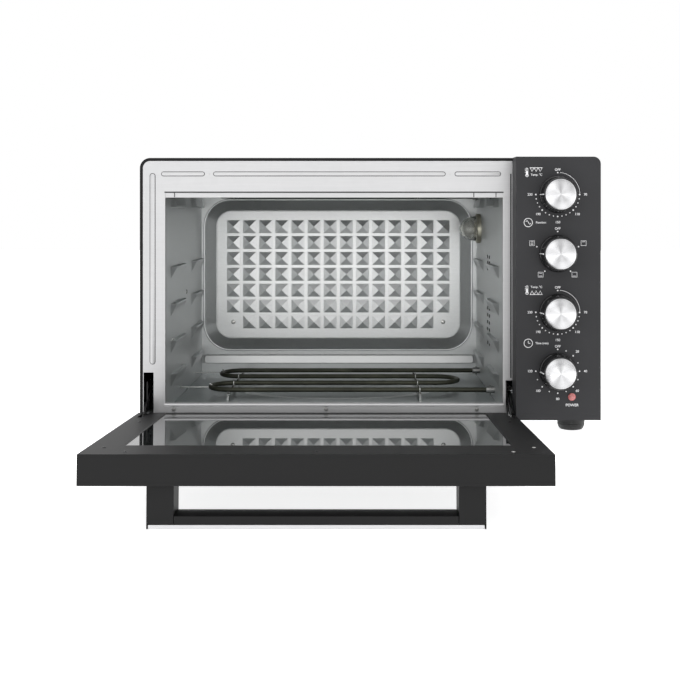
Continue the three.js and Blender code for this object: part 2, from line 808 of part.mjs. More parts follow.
// -------------------------------------------------------------------- control column
const dialZ = (order) => dialTopZ - order * dialPitch;
const dialOrders = Array.from({ length: dialCount }, (_, order) => order);
const bracketLeft = panelLeft + panelWall + clearance;
const bracketRight = halfWidth - frameInset;

function controlPanel() {
  const shape = (inset, corner) => {
    const outline = new THREE.Shape();
    outline.moveTo(panelLeft + inset, inset);
    outline.lineTo(halfWidth - inset, inset);
    outline.absarc(halfWidth - panelCorner, bodyHeight - panelCorner,
      corner, 0, Math.PI / 2);
    outline.lineTo(panelLeft + inset, bodyHeight - inset);
    outline.closePath();
    return outline;
  };
  const shell = alongY(shape(0, panelCorner), panelFrontY, frontY - clearance)
    .subtract(alongY(
      shape(panelWall, panelCorner - panelWall), panelFrontY + panelWall, frontY + 1));
  const holes = dialOrders.map((order) => rodY(
    shaftRadius + 1, dialX, dialZ(order), panelFrontY - 1, panelFrontY + panelWall + 1));
  const lampHole = rodY(
    indicatorRadius + clearance, indicatorX, indicatorZ, panelFrontY - 1,
    panelFrontY + panelWall + 1);
  return cutAll(shell, [...holes, lampHole]);
}

function controlBracket() {
  const plate = box(
    [bracketLeft, bracketRight], [frontY, frontY + sheet], [clearance, bodyHeight - frameInset]);
  const holes = dialOrders.map((order) => rodY(
    bushRadius + clearance, dialX, dialZ(order), frontY - 2, frontY + 4));
  const trimmed = alongY(
    archOutline(bracketLeft - 20, bracketRight, clearance, bodyHeight - frameInset,
      coverCorner - frameInset), frontY - 1, frontY + 3);
  return cutAll(plate.intersect(trimmed), holes);
}

/** A switch, thermostat or timer: a block behind the bracket with a bush through it. */
function controlUnit(width, height, depth) {
  const back = frontY + sheet + clearance;
  const block = box([-width / 2, width / 2], [back, back + depth], [-height / 2, height / 2]);
  const bush = rodY(bushRadius, 0, 0, frontY - 6, back + 1);
  const bore = rodY(shaftRadius + clearance, 0, 0, frontY - 8, back + depth * 0.6);
  return block.add(bush).subtract(bore);
}

/** A turning knob with its shaft, tapered skirt, front recess and a pointer rib. */
function knobBody() {
  const skirt = turned([
    [0, -knobHeight + capSink], [capRadius + clearance, -knobHeight + capSink],
    [capRadius + clearance, -knobHeight], [knobFrontRadius, -knobHeight],
    [knobRadius - knobRound, -knobFoot - 1], [knobRadius, -knobFoot], [knobRadius, 0], [0, 0],
  ], 32);
  const shaft = rodY(shaftRadius, 0, 0, -shaftTail, shaftReach, 12);
  const pointer = box(
    [-knobRadius - pointerProud, -knobFrontRadius + 1],
    [-knobHeight + pointerSetback, -shaftTail],
    [-pointerWidth / 2, pointerWidth / 2]);
  return join([skirt, shaft, pointer]);
}

function knobCap() {
  const base = -knobHeight + capSink - clearance;
  return turned([
    [0, base - capHeight], [capRadius - 1, base - capHeight], [capRadius, base - capHeight + 1],
    [capRadius, base], [0, base],
  ], 32);
}

const controls = [
  { name: "upper_temperature", unit: "upper_thermostat", size: [36, 34, 26] },
  { name: "function", unit: "function_switch", size: [34, 40, 30] },
  { name: "lower_temperature", unit: "lower_thermostat", size: [36, 34, 26] },
  { name: "timer", unit: "timer_unit", size: [46, 52, 34] },
];

piece("control_panel", controlPanel(), charcoal);
piece("control_bracket", controlBracket(), galvanised);
controls.forEach(({ name, unit, size }, order) => {
  piece(unit, controlUnit(...size), resin).position.set(dialX, 0, dialZ(order));
  const knob = new THREE.Group();
  knob.position.set(dialX, panelFrontY - knobGap, dialZ(order));
  piece(`${name}_knob`, knobBody(), blackPaint, knob);
  piece(`${name}_knob_cap`, knobCap(), aluminium, knob);
  oven.add(knob);
});

function indicatorLens() {
  return turned([
    [0, -indicatorDome], [indicatorRadius * 0.6, -0.8 * indicatorDome],
    [indicatorRadius + indicatorRim, -0.3 * indicatorDome], [indicatorRadius + indicatorRim, 0],
    [indicatorRadius, 0], [indicatorRadius, indicatorLength], [0, indicatorLength],
  ], 20);
}

const lens = piece("indicator_lens", indicatorLens(), redLens);
lens.position.set(indicatorX, panelFrontY - clearance, indicatorZ);

// ------------------------------------------------------------------- feet and inlet
function foot() {
  const top = basePadDepth - clearance;
  return toAxisZ(turned([
    [0, -footHeight], [footRadius - footTread, -footHeight],
    [footRadius - footRound, -footHeight + footRound], [footRadius, -footHeight + footTread],
    [footRadius, top], [0, top],
  ], 20));
}

const footX = halfWidth - footInset;
[["front_left", -1, frontY + footSetback], ["front_right", 1, frontY + footSetback],
  ["rear_left", -1, backY - footSetback], ["rear_right", 1, backY - footSetback]]
  .forEach(([place, side, y]) => {
    piece(`${place}_foot`, foot(), rubber).position.set(side * footX, y, 0);
  });

function cableGland() {
  const collar = [
    [glandRadius, clearance], [glandRadius, glandFlange], [glandRadius - glandTaper, glandLength]];
  return turned([
    [0, -glandTail], [glandNeck, -glandTail], [glandNeck, clearance], ...collar, [0, glandLength],
  ], 20).subtract(rodY(glandBore, 0, 0, -glandTail - 1, glandLength + 1, 12));
}

piece("cable_gland", cableGland(), rubber).position.set(glandX, backY, glandZ);

// ----------------------------------------------------------------------------- door
const glassLeft = doorLeft + doorBorder;
const glassRight = doorRight - doorBorder;
const glassBottom = doorBottom + doorBottomBorder;
const glassTop = doorTop - doorTopBorder;
const innerGlassBottom = doorBottom + innerGlassBottomGap;
const hollowInset = 2 * hingeOffsetLeft;
const hollowLow = doorBottom + hingePocketLength + doorRim;

const door = new THREE.Group();
door.position.set(0, hingeY, hingeAxisZ);
door.rotation.x = radians(doorOpenAngle);
oven.add(door);

/** A block the size of a pane, grown by a margin. */
function paneBox(bottom, margin, y0, y1) {
  return box([glassLeft - margin, glassRight + margin], [y0, y1],
    [bottom - margin, glassTop + margin]);
}

/** The frame's folded edges: a slab hollowed between its two skins, round each rebate. */
function doorFrame() {
  const slab = box([doorLeft, doorRight], [doorFront, doorBack], [doorBottom, doorTop]);
  const rebate = glassInset + glassThickness + clearance;
  const innerRebate = paneBox(innerGlassBottom, clearance, doorBack - rebate, doorBack + 1);
  const outerRebate = paneBox(glassBottom, clearance, doorFront - 1, doorFront + rebate);
  const innerWindow = paneBox(innerGlassBottom, -glassRebate, doorFront + doorThickness / 2,
    doorBack + 1);
  const outerWindow = paneBox(glassBottom, -glassRebate, doorFront - 1,
    doorBack - doorThickness / 2 + 1);
  const hollow = box(
    [doorLeft + hollowInset, doorRight - hollowInset],
    [doorFront + rebate + doorRim, doorBack - rebate - doorRim],
    [doorBottom + doorRim, doorTop - doorRim]);
  const sideBays = [
    [[doorLeft + hollowInset, glassLeft - doorRim], [doorTop - doorTopBorder, hollowLow]],
    [[glassRight + doorRim, doorRight - hollowInset], [doorTop - doorTopBorder, hollowLow]],
    [[doorLeft + doorRim, doorRight - doorRim], [doorTop - doorRim, glassTop + doorRim]],
  ].map(([x, [top, bottom]]) => box(
    x, [doorFront + doorRim, doorBack - doorRim], [bottom, top]));
  const pockets = [hingeLeftX, hingeRightX].map((x) => box(
    [x - hingePocketWidth / 2, x + hingePocketWidth / 2],
    [doorBack - hingePocketDepth, doorBack + 1],
    [doorBottom - 1, doorBottom + hingePocketLength]));
  return cutAll(slab, [
    innerWindow, outerWindow, innerRebate, outerRebate, hollow, ...sideBays, ...pockets]);
}

function innerGlass() {
  const y1 = doorBack - glassInset;
  return paneBox(innerGlassBottom, 0, y1 - glassThickness, y1);
}

function outerGlass() {
  const y0 = doorFront + glassInset;
  return paneBox(glassBottom, 0, y0, y0 + glassThickness);
}

// ---------------------------------------------------------------------------- handle
const handleTop = doorTop - handleTopInset;
const handleBottom = handleTop - handleDepth;
const handleLeft = doorLeft + handleSideInset;
const handleRight = doorRight - handleSideInset;
const handleFace = doorFront - handleProjection;
const barBack = handleFace + handleTrimThickness + handleBarThickness;

function handlePost(side) {
  const outer = side < 0 ? handleLeft : handleRight;
  const inner = outer - side * handlePostWidth;
  const span = (a, b) => [Math.min(a, b), Math.max(a, b)];
  const post = box(
    span(outer, inner), [handleFace + handleTrimThickness + clearance, doorFront - clearance],
    [handleBottom, handleTop]);
  const edge = box(
    span(outer, outer - side * handleEndEdge), [handleFace, handleFace + handleEndLip],
    [handleBottom, handleTop]);
  return post.add(edge);
}

function handleBar() {
  const grip = new THREE.Shape();
  const face = handleFace + handleTrimThickness + clearance;
  grip.moveTo(face, handleBottom);
  grip.lineTo(barBack - gripCrown, handleBottom);
  grip.quadraticCurveTo(
    barBack + 1, (handleBottom + handleTop) / 2, barBack - gripCrown, handleTop);
  grip.lineTo(face, handleTop);
  grip.closePath();
  return alongX(
    grip, handleLeft + handlePostWidth + clearance, handleRight - handlePostWidth - clearance);
}

function handleTrim() {
  const edge = handleEndEdge + clearance;
  return box([handleLeft + edge, handleRight - edge],
    [handleFace, handleFace + handleTrimThickness], [handleBottom, handleTop]);
}

piece("door_frame", doorFrame(), charcoal, door);
piece("door_inner_glass", innerGlass(), tintedGlass, door);
piece("door_outer_glass", outerGlass(), tintedGlass, door);
piece("handle_post_left", handlePost(-1), charcoal, door);
piece("handle_post_right", handlePost(1), charcoal, door);
piece("handle_bar", handleBar(), charcoal, door);
piece("handle_trim", handleTrim(), aluminium, door);

// ---------------------------------------------------------------------------- hinges
// Each hinge is three plates side by side: a bracket fixed behind the front frame, a
// link that slides in and out of the slot, and a leaf fixed inside the door's pocket.
const bracketOffset = -(hingePlate * 1.5 + plateGap);
const leafOffset = hingePlate / 2 + plateGap;

/** A rounded bar outline between two points in Y and Z. */
function linkOutline(y0, z0, r0, y1, z1, r1) {
  const heading = Math.atan2(z1 - z0, y1 - y0);
  const shape = new THREE.Shape();
  shape.absarc(y0, z0, r0, heading + Math.PI / 2, heading + 1.5 * Math.PI);
  shape.absarc(y1, z1, r1, heading - Math.PI / 2, heading + Math.PI / 2);
  shape.closePath();
  return shape;
}

function hingeBracket(x) {
  const x0 = x + bracketOffset;
  const back = frontY + sheet + clearance;
  const plate = box([x0, x0 + hingePlate], [back, back + bracketReach], [bracketEarZ, bracketTopZ]);
  const ear = alongX(
    linkOutline(
      hingeY, hingeAxisZ, hingeEar, back + bracketEarReach, bracketEarRise, bracketEarTip),
    x0, x0 + hingePlate);
  const trimmed = ear.subtract(
    box([x0 - 1, x0 + 5], [frontY - 1, back + 2 * bracketReach], [-20, bracketEarZ]));
  const bore = rodX(pinRadius + clearance, hingeY, hingeAxisZ, x0 - 2, x0 + 4, 12);
  return plate.add(trimmed).subtract(bore);
}

function hingeLeaf(x) {
  const x0 = x + leafOffset;
  const rivetZ = linkRadius;
  const leaf = alongX(
    linkOutline(0, 0, hingeEar, 0, rivetZ + leafTip, leafTip), x0, x0 + hingePlate);
  const rivet = rodX(pinRadius, 0, rivetZ, x - hingePlate * 1.1, x0 + 0.5, 12);
  const bore = rodX(pinRadius + clearance, 0, 0, x0 - 2, x0 + 4, 12);
  return leaf.add(rivet).subtract(bore);
}

function hingePin(x) {
  return rodX(pinRadius, 0, 0, x + bracketOffset - 0.4, x + leafOffset + hingePlate + 0.4, 12);
}

function hingeLink() {
  const outline = linkOutline(0, 0, linkHeight / 2, linkLength, 0, linkHeight / 2 - 1.5);
  const plate = alongX(outline, -hingePlate / 2, hingePlate / 2);
  return plate.subtract(rodX(pinRadius + clearance, 0, 0, -3, 3, 12));
}

function hingeSpring() {
  return rodY(springRadius, 0, 0, 0, springLength, 12);
}

const leafPoint = new THREE.Vector3(0, 0, linkRadius)
  .applyAxisAngle(new THREE.Vector3(1, 0, 0), radians(doorOpenAngle))
  .add(door.position);

[["left", hingeLeftX], ["right", hingeRightX]].forEach(([side, x]) => {
  piece(`${side}_hinge_bracket`, hingeBracket(x), darkSteel);
  piece(`${side}_hinge_leaf`, hingeLeaf(x), darkSteel, door);
  piece(`${side}_hinge_pin`, hingePin(x), darkSteel, door);
  const link = piece(`${side}_hinge_link`, hingeLink(), brightSteel);
  link.position.set(x, leafPoint.y, leafPoint.z);
  link.rotation.x = radians(linkAngleOpen);
  const tail = linkLength - springHookInset;
  const spring = piece(`${side}_hinge_spring`, hingeSpring(), darkSteel);
  spring.position.set(
    x + springOffset,
    leafPoint.y + tail * Math.cos(radians(linkAngleOpen)),
    leafPoint.z + tail * Math.sin(radians(linkAngleOpen)));
});

export default oven;
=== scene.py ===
"""The finished look of a countertop toaster oven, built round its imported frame.

The oven stands with its door down. Every length is in metres, in the frame's own axes: X to
the right, Y from the front to the back, Z up from the underside of the base pan.
"""
import json
import logging
import math
from collections.abc import Callable, Iterable, Sequence
from dataclasses import dataclass
from enum import Enum

import bpy
from mathutils import Matrix, Vector

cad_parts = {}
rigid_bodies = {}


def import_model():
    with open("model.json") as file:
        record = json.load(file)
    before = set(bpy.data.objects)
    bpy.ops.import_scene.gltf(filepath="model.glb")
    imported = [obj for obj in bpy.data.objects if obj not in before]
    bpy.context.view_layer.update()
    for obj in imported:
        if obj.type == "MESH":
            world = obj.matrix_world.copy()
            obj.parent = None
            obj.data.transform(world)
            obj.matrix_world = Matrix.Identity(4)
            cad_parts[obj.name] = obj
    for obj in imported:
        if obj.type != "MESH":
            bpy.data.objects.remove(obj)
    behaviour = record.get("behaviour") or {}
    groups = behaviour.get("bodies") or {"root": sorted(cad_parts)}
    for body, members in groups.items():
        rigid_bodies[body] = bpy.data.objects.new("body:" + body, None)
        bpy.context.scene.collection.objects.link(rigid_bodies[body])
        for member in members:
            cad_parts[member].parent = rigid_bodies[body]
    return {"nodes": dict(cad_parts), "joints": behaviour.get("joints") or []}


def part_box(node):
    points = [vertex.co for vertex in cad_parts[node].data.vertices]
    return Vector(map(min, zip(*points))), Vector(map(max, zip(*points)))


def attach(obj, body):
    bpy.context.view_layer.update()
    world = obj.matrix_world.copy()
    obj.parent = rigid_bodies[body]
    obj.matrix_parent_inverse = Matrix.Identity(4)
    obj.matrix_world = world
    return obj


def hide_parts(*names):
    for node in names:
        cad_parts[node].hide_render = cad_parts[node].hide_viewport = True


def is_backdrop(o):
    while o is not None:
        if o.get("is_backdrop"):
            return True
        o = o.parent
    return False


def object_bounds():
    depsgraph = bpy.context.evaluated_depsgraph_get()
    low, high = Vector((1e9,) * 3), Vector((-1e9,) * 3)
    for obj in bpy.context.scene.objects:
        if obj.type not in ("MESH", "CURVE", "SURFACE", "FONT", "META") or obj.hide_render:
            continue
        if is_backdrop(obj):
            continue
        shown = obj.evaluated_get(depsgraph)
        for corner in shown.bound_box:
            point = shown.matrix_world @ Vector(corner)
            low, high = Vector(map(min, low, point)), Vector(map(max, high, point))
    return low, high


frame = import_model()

LOG = logging.getLogger("toaster_oven")
MM = 0.001
WELD = 0.004 * MM  # Points nearer to each other than this are one point.
SHEET = 0.8 * MM  # The thickness of the casing's and the lining's sheet.
Colour = tuple[float, float, float]
Point = tuple[float, float, float]
Profile = Sequence[tuple[float, float]]
PairTest = Callable[[Vector, Vector], bool]


class Body(str, Enum):
    """The bodies that pieces ride on."""

    OVEN = "oven"
    DOOR = "door"
    LEFT_LINK = "left_link"
    RIGHT_LINK = "right_link"
    UPPER_TEMPERATURE = "upper_temperature_control"
    FUNCTION = "function_control"
    LOWER_TEMPERATURE = "lower_temperature_control"
    TIMER = "timer_control"


class Slot(str, Enum):
    """The material slots that finishes belong to."""

    BLACK_PAINT = "black_paint"
    CHARCOAL_PAINT = "charcoal_paint"
    GALVANISED = "galvanised_sheet"
    BRIGHT_STEEL = "bright_steel"
    DARK_STEEL = "dark_steel"
    ELEMENT_SHEATH = "element_sheath"
    CLEAR_GLASS = "clear_glass"
    TINTED_GLASS = "tinted_glass"
    SWITCH_RESIN = "switch_resin"
    RED_LENS = "red_lens"
    BLACK_RUBBER = "black_rubber"
    BLACK_PLASTIC = "black_plastic"
    SPUN_ALUMINIUM = "spun_aluminium"


class Axis(Enum):
    """The directions that a turned piece may stand along."""

    FORWARD = (math.radians(90), 0.0, 0.0)
    BACKWARD = (math.radians(-90), 0.0, 0.0)
    UP = (0.0, 0.0, 0.0)
    DOWN = (math.radians(180), 0.0, 0.0)
    LEFT = (0.0, math.radians(-90), 0.0)
    RIGHT = (0.0, math.radians(90), 0.0)


# --------------------------------------------------------------------------- finishes
class NodeBench:
    """Lays out the nodes of one material."""

    def __init__(self, name: str) -> None:
        """Starts a material.

        Args:
            name: The material's name.
        """
        self.material = bpy.data.materials.new(name)
        self.material.use_nodes = True
        self.tree = self.material.node_tree
        self.shader = self.tree.nodes["Principled BSDF"]
        self._where = self.tree.nodes.new("ShaderNodeTexCoord").outputs["Object"]

    def set(self, **values: object) -> None:
        """Sets sockets on the shader, with underscores for the spaces in their names."""
        for name, value in values.items():
            self.shader.inputs[name.replace("_", " ")].default_value = value

    def feed(self, socket: str, output: bpy.types.NodeSocket) -> None:
        """Links an output into a socket of the shader."""
        self.tree.links.new(output, self.shader.inputs[socket])

    def place(
        self, scale: Point = (1.0, 1.0, 1.0), origin: Point = (0.0, 0.0, 0.0)
    ) -> bpy.types.NodeSocket:
        """Object coordinates stretched along each axis and measured from a point.

        Args:
            scale: The stretch along each axis.
            origin: The point that becomes zero, in metres.

        Returns:
            The coordinates.
        """
        node = self.tree.nodes.new("ShaderNodeMapping")
        node.inputs["Scale"].default_value = scale
        node.inputs["Location"].default_value = [-o * s for o, s in zip(origin, scale)]
        self.tree.links.new(self._where, node.inputs["Vector"])
        return node.outputs["Vector"]

    def noise(
        self,
        scale: float,
        detail: float = 3.0,
        vector: bpy.types.NodeSocket | None = None,
    ) -> bpy.types.NodeSocket:
        """A cloudy pattern from 0 to 1.

        Args:
            scale: How many clouds fit in a metre.
            detail: How fine its smallest parts are.
            vector: The coordinates, or None for the piece's own.

        Returns:
            The pattern.
        """
        node = self.tree.nodes.new("ShaderNodeTexNoise")
        node.inputs["Scale"].default_value = scale
        node.inputs["Detail"].default_value = detail
        self.tree.links.new(vector or self._where, node.inputs["Vector"])
        return node.outputs["Fac"]

    def cells(self, scale: float) -> bpy.types.NodeSocket:
        """A random grey for each cell of a crystal-like pattern.

        Args:
            scale: How many cells fit in a metre.

        Returns:
            The pattern.
        """
        node = self.tree.nodes.new("ShaderNodeTexVoronoi")
        node.inputs["Scale"].default_value = scale
        self.tree.links.new(self._where, node.inputs["Vector"])
        return node.outputs["Color"]

    def ramp(
        self, value: bpy.types.NodeSocket, stops: Sequence[tuple[float, Colour]]
    ) -> bpy.types.NodeSocket:
        """Colours for a value.

        Args:
            value: The value, from 0 to 1.
            stops: Places along it, each with its colour.

        Returns:
            The colour.
        """
        node = self.tree.nodes.new("ShaderNodeValToRGB")
        elements = node.color_ramp.elements
        while len(elements) < len(stops):
            elements.new(0.5)
        for element, (place, colour) in zip(elements, stops):
            element.position = place
            element.color = (*colour, 1.0)
        self.tree.links.new(value, node.inputs["Fac"])
        return node.outputs["Color"]

    def span(
        self, value: bpy.types.NodeSocket, low: float, high: float
    ) -> bpy.types.NodeSocket:
        """A value from 0 to 1 spread between two others.

        Args:
            value: The value.
            low: What 0 becomes.
            high: What 1 becomes.

        Returns:
            The new value.
        """
        node = self.tree.nodes.new("ShaderNodeMapRange")
        node.inputs["To Min"].default_value = low
        node.inputs["To Max"].default_value = high
        self.tree.links.new(value, node.inputs["Value"])
        return node.outputs["Result"]

    def math(
        self,
        operation: str,
        first: bpy.types.NodeSocket,
        second: bpy.types.NodeSocket | float = 0.0,
    ) -> bpy.types.NodeSocket:
        """One sum on two values.

        Args:
            operation: The sum's name.
            first: The first value.
            second: The second value, a number or an output.

        Returns:
            The result.
        """
        node = self.tree.nodes.new("ShaderNodeMath")
        node.operation = operation
        self.tree.links.new(first, node.inputs[0])
        if isinstance(second, float):
            node.inputs[1].default_value = second
        else:
            self.tree.links.new(second, node.inputs[1])
        return node.outputs["Value"]

    def axes(
        self, vector: bpy.types.NodeSocket
    ) -> tuple[bpy.types.NodeSocket, bpy.types.NodeSocket, bpy.types.NodeSocket]:
        """The three parts of a set of coordinates.

        Args:
            vector: The coordinates.

        Returns:
            Their X, Y and Z.
        """
        node = self.tree.nodes.new("ShaderNodeSeparateXYZ")
        self.tree.links.new(vector, node.inputs["Vector"])
        return node.outputs["X"], node.outputs["Y"], node.outputs["Z"]

    def relief(
        self, height: bpy.types.NodeSocket, strength: float, depth: float
    ) -> None:
        """Raises the surface by a pattern.

        Args:
            height: The pattern.
            strength: How much of it shows.
            depth: The height of its tallest parts, in metres.
        """
        node = self.tree.nodes.new("ShaderNodeBump")
        node.inputs["Strength"].default_value = strength
        node.inputs["Distance"].default_value = depth
        self.tree.links.new(height, node.inputs["Height"])
        self.feed("Normal", node.outputs["Normal"])


@dataclass(frozen=True)
class Finish:
    """What all finishes have: a name, a slot and a colour."""

    name: str
    slot: Slot
    colour: Colour

    def shade(self, share: float) -> Colour:
        """The finish's colour, lighter or darker."""
        red, green, blue = self.colour
        return min(red * share, 1.0), min(green * share, 1.0), min(blue * share, 1.0)

    def material(self) -> bpy.types.Material:
        """The finish's material, made the first time that it is asked for.

        Returns:
            The material.
        """
        known = bpy.data.materials.get(self.name)
        if known is not None:
            return known
        bench = NodeBench(self.name)
        self.lay(bench)
        return bench.material

    def lay(self, bench: NodeBench) -> None:
        """Lays out the finish's nodes."""
        raise NotImplementedError


@dataclass(frozen=True)
class Paint(Finish):
    """Baked paint or powder coat, with a fine orange peel."""

    roughness: float = 0.42
    grain: float = 1400.0
    peel: float = 0.12

    def lay(self, bench: NodeBench) -> None:
        """Lays out soft clouds of colour over fine peel.

        Args:
            bench: The material being laid out.
        """
        clouds = bench.noise(9.0, 5.0)
        specks = bench.noise(self.grain, 2.0)
        tone = bench.ramp(clouds, [(0.3, self.shade(0.9)), (0.7, self.shade(1.12))])
        bench.feed("Base Color", tone)
        bench.feed("Roughness", bench.span(specks, self.roughness - 0.05, self.roughness + 0.07))
        bench.relief(specks, self.peel, 0.05 * MM)
        bench.set(Metallic=0.0, Specular_IOR_Level=0.2)


@dataclass(frozen=True)
class Sheet(Finish):
    """Bare or plated sheet metal, with a grain along one axis and a faint spangle."""

    roughness: float = 0.3
    spangle: float = 0.1
    cell: float = 180.0
    stretch: Point = (3.0, 60.0, 60.0)
    metal: float = 0.95
    # A band along Z darkened as painted shade, its tone, and the width of its soft edges.
    film_and_painted_shade: tuple[float, float] | None = None
    painted_shade_tone: float = 0.6
    painted_shade_edge: float = 2.0 * MM

    def painted_shade_band(self, bench: NodeBench) -> bpy.types.NodeSocket:
        """How much of the sheet's colour a band keeps where it is darkened as painted shade.

        Args:
            bench: The material being laid out.

        Returns:
            1 away from the band, and the painted shade's tone on it.
        """
        edges = []
        for height, way in zip(self.film_and_painted_shade, (1.0, -1.0)):
            place = bench.place((1.0, 1.0, way / self.painted_shade_edge), (0.0, 0.0, height))
            edges.append(bench.span(bench.axes(place)[2], 0.0, 1.0))
        return bench.span(bench.math("MULTIPLY", *edges), 1.0, self.painted_shade_tone)

    def lay(self, bench: NodeBench) -> None:
        """Lays out spangle, rolling lines and a cloudy sheen.

        Args:
            bench: The material being laid out.
        """
        cells = bench.cells(self.cell)
        lines = bench.noise(18.0, 6.0, bench.place(self.stretch))
        clouds = bench.noise(7.0, 3.0)
        grey = bench.span(cells, 1.0 - self.spangle, 1.0)
        tone = bench.math("MULTIPLY", grey, bench.span(lines, 0.94, 1.04))
        # Painted shade: the band darkens the colour over the back wall's rib.
        if self.film_and_painted_shade:
            tone = bench.math("MULTIPLY", tone, self.painted_shade_band(bench))
        bench.feed(
            "Base Color",
            bench.ramp(tone, [(0.0, (0.0, 0.0, 0.0)), (1.0, self.colour)]),
        )
        glints = bench.span(cells, -self.spangle / 4, self.spangle / 4)
        sheen = bench.span(clouds, self.roughness - 0.05, self.roughness + 0.06)
        bench.feed("Roughness", bench.math("ADD", glints, sheen))
        bench.relief(lines, 0.04, 0.05 * MM)
        bench.set(Metallic=self.metal)


@dataclass(frozen=True)
class Sheath(Finish):
    """The oxidised skin of a tube heater, mottled by heat."""

    def lay(self, bench: NodeBench) -> None:
        """Lays out heat clouds and a fine scale.

        Args:
            bench: The material being laid out.
        """
        clouds = bench.noise(26.0, 5.0)
        scale = bench.noise(900.0, 3.0)
        bench.feed("Base Color", bench.ramp(clouds, [
            (0.3, self.shade(0.6)), (0.55, self.colour), (0.8, self.shade(1.7))]))
        bench.feed("Roughness", bench.span(scale, 0.38, 0.6))
        bench.relief(scale, 0.25, 0.06 * MM)
        bench.set(Metallic=0.55)


@dataclass(frozen=True)
class Spun(Finish):
    """Aluminium faced on a lathe, with wedges of painted sheen in its colour."""

    centre: Point = (0.0, 0.0, 0.0)
    grooves: float = 1.0

    def lay(self, bench: NodeBench) -> None:
        """Lays out rings about the centre and soft wedges of painted sheen between them.

        Args:
            bench: The material being laid out.
        """
        across, _, up = bench.axes(bench.place(origin=self.centre))
        square = bench.math("ADD", bench.math("MULTIPLY", across, across),
                            bench.math("MULTIPLY", up, up))
        radius = bench.math("SQRT", square)
        rings = bench.math("SINE", bench.math("MULTIPLY", radius, 2 * math.pi / (0.35 * MM)))
        angle = bench.math("ARCTAN2", up, across)
        # Painted sheen: the colour grows lighter and darker in wedges round the centre, standing
        # in for the spun face's reflections.
        sheen_wedge = bench.math("COSINE", bench.math("MULTIPLY", angle, 2.0))
        fine = bench.math("COSINE", bench.math("ADD", bench.math(
            "MULTIPLY", angle, 5.0), 0.9))
        light = bench.math("ADD", bench.math("MULTIPLY", sheen_wedge, 0.3), bench.math(
            "MULTIPLY", fine, 0.2))
        bench.feed("Base Color", bench.ramp(bench.math("ADD", light, 0.5), [
            (0.0, self.shade(0.55)), (0.45, self.shade(0.84)), (1.0, self.shade(1.12))]))
        bench.feed("Roughness", bench.span(rings, 0.24, 0.34))
        bench.relief(rings, 0.1 * self.grooves, 0.02 * MM)
        bench.set(Metallic=0.92)


@dataclass(frozen=True)
class Glass(Finish):
    """Toughened glass, clear or tinted."""

    clear: float = 1.0
    ior: float = 1.5

    def lay(self, bench: NodeBench) -> None:
        """Lays out a smooth surface with the faintest film of use on it.

        Args:
            bench: The material being laid out.
        """
        film_and_painted_shade = bench.noise(14.0, 4.0)
        bench.feed("Base Color", bench.ramp(film_and_painted_shade, [
            (0.35, self.shade(0.92)), (0.75, self.colour)]))
        bench.feed("Roughness", bench.span(film_and_painted_shade, 0.004, 0.012))
        bench.set(Metallic=0.0, Transmission_Weight=self.clear, IOR=self.ior)


@dataclass(frozen=True)
class Moulded(Finish):
    """Moulded plastic, resin or rubber with a fine spark-eroded grain."""

    roughness: float = 0.4
    grain: float = 2200.0
    depth: float = 0.18
    soft: float = 0.0

    def lay(self, bench: NodeBench) -> None:
        """Lays out the mould's grain and slow changes of tone.

        Args:
            bench: The material being laid out.
        """
        grain = bench.noise(self.grain, 2.0)
        clouds = bench.noise(35.0, 4.0)
        bench.feed("Base Color", bench.ramp(clouds, [
            (0.3, self.shade(0.88)), (0.7, self.shade(1.1))]))
        bench.feed("Roughness", bench.span(grain, self.roughness - 0.06, self.roughness + 0.08))
        bench.relief(grain, self.depth, 0.04 * MM)
        bench.set(Metallic=0.0, Sheen_Weight=self.soft)


@dataclass(frozen=True)
class Lens(Finish):
    """A translucent signal lens over a small lamp."""

    def lay(self, bench: NodeBench) -> None:
        """Lays out a moulded lens with fine ribs inside it.

        Args:
            bench: The material being laid out.
        """
        ribs = bench.noise(520.0, 1.0)
        bench.feed("Base Color", bench.ramp(ribs, [
            (0.3, self.shade(0.8)), (0.7, self.shade(1.25))]))
        bench.feed("Roughness", bench.span(ribs, 0.16, 0.3))
        bench.relief(ribs, 0.3, 0.1 * MM)
        bench.set(Subsurface_Weight=0.25, Subsurface_Scale=1.5 * MM, Coat_Weight=0.5)


@dataclass(frozen=True)
class Ink(Finish):
    """Screen-printed ink, a little uneven."""

    def lay(self, bench: NodeBench) -> None:
        """Lays out the ink's slight changes of cover.

        Args:
            bench: The material being laid out.
        """
        cover = bench.noise(1600.0, 3.0)
        bench.feed("Base Color", bench.ramp(cover, [
            (0.25, self.shade(0.86)), (0.6, self.colour)]))
        bench.feed("Roughness", bench.span(cover, 0.5, 0.62))
        bench.set(Metallic=0.0)


BLACK_COAT = Paint("black_powder_coat", Slot.BLACK_PAINT, (0.004, 0.004, 0.0042), 0.5, 1500.0)
CHARCOAL = Paint("charcoal_satin", Slot.CHARCOAL_PAINT, (0.026, 0.026, 0.028), 0.5, 1900.0)
DOOR_CHARCOAL = Paint(
    "door_charcoal", Slot.CHARCOAL_PAINT, (0.006, 0.006, 0.0062), 0.48, 1900.0)
SILVER_FACE = Sheet(
    "silver_front_sheet", Slot.BRIGHT_STEEL, (0.5, 0.5, 0.505), 0.42, 0.03, 90.0,
    (1.0, 30.0, 30.0), 0.8)
GALVANISED = Sheet(
    "galvanised_sheet", Slot.GALVANISED, (0.86, 0.92, 0.91), 0.27, 0.07, 160.0,
    (20.0, 4.0, 20.0), 0.45)
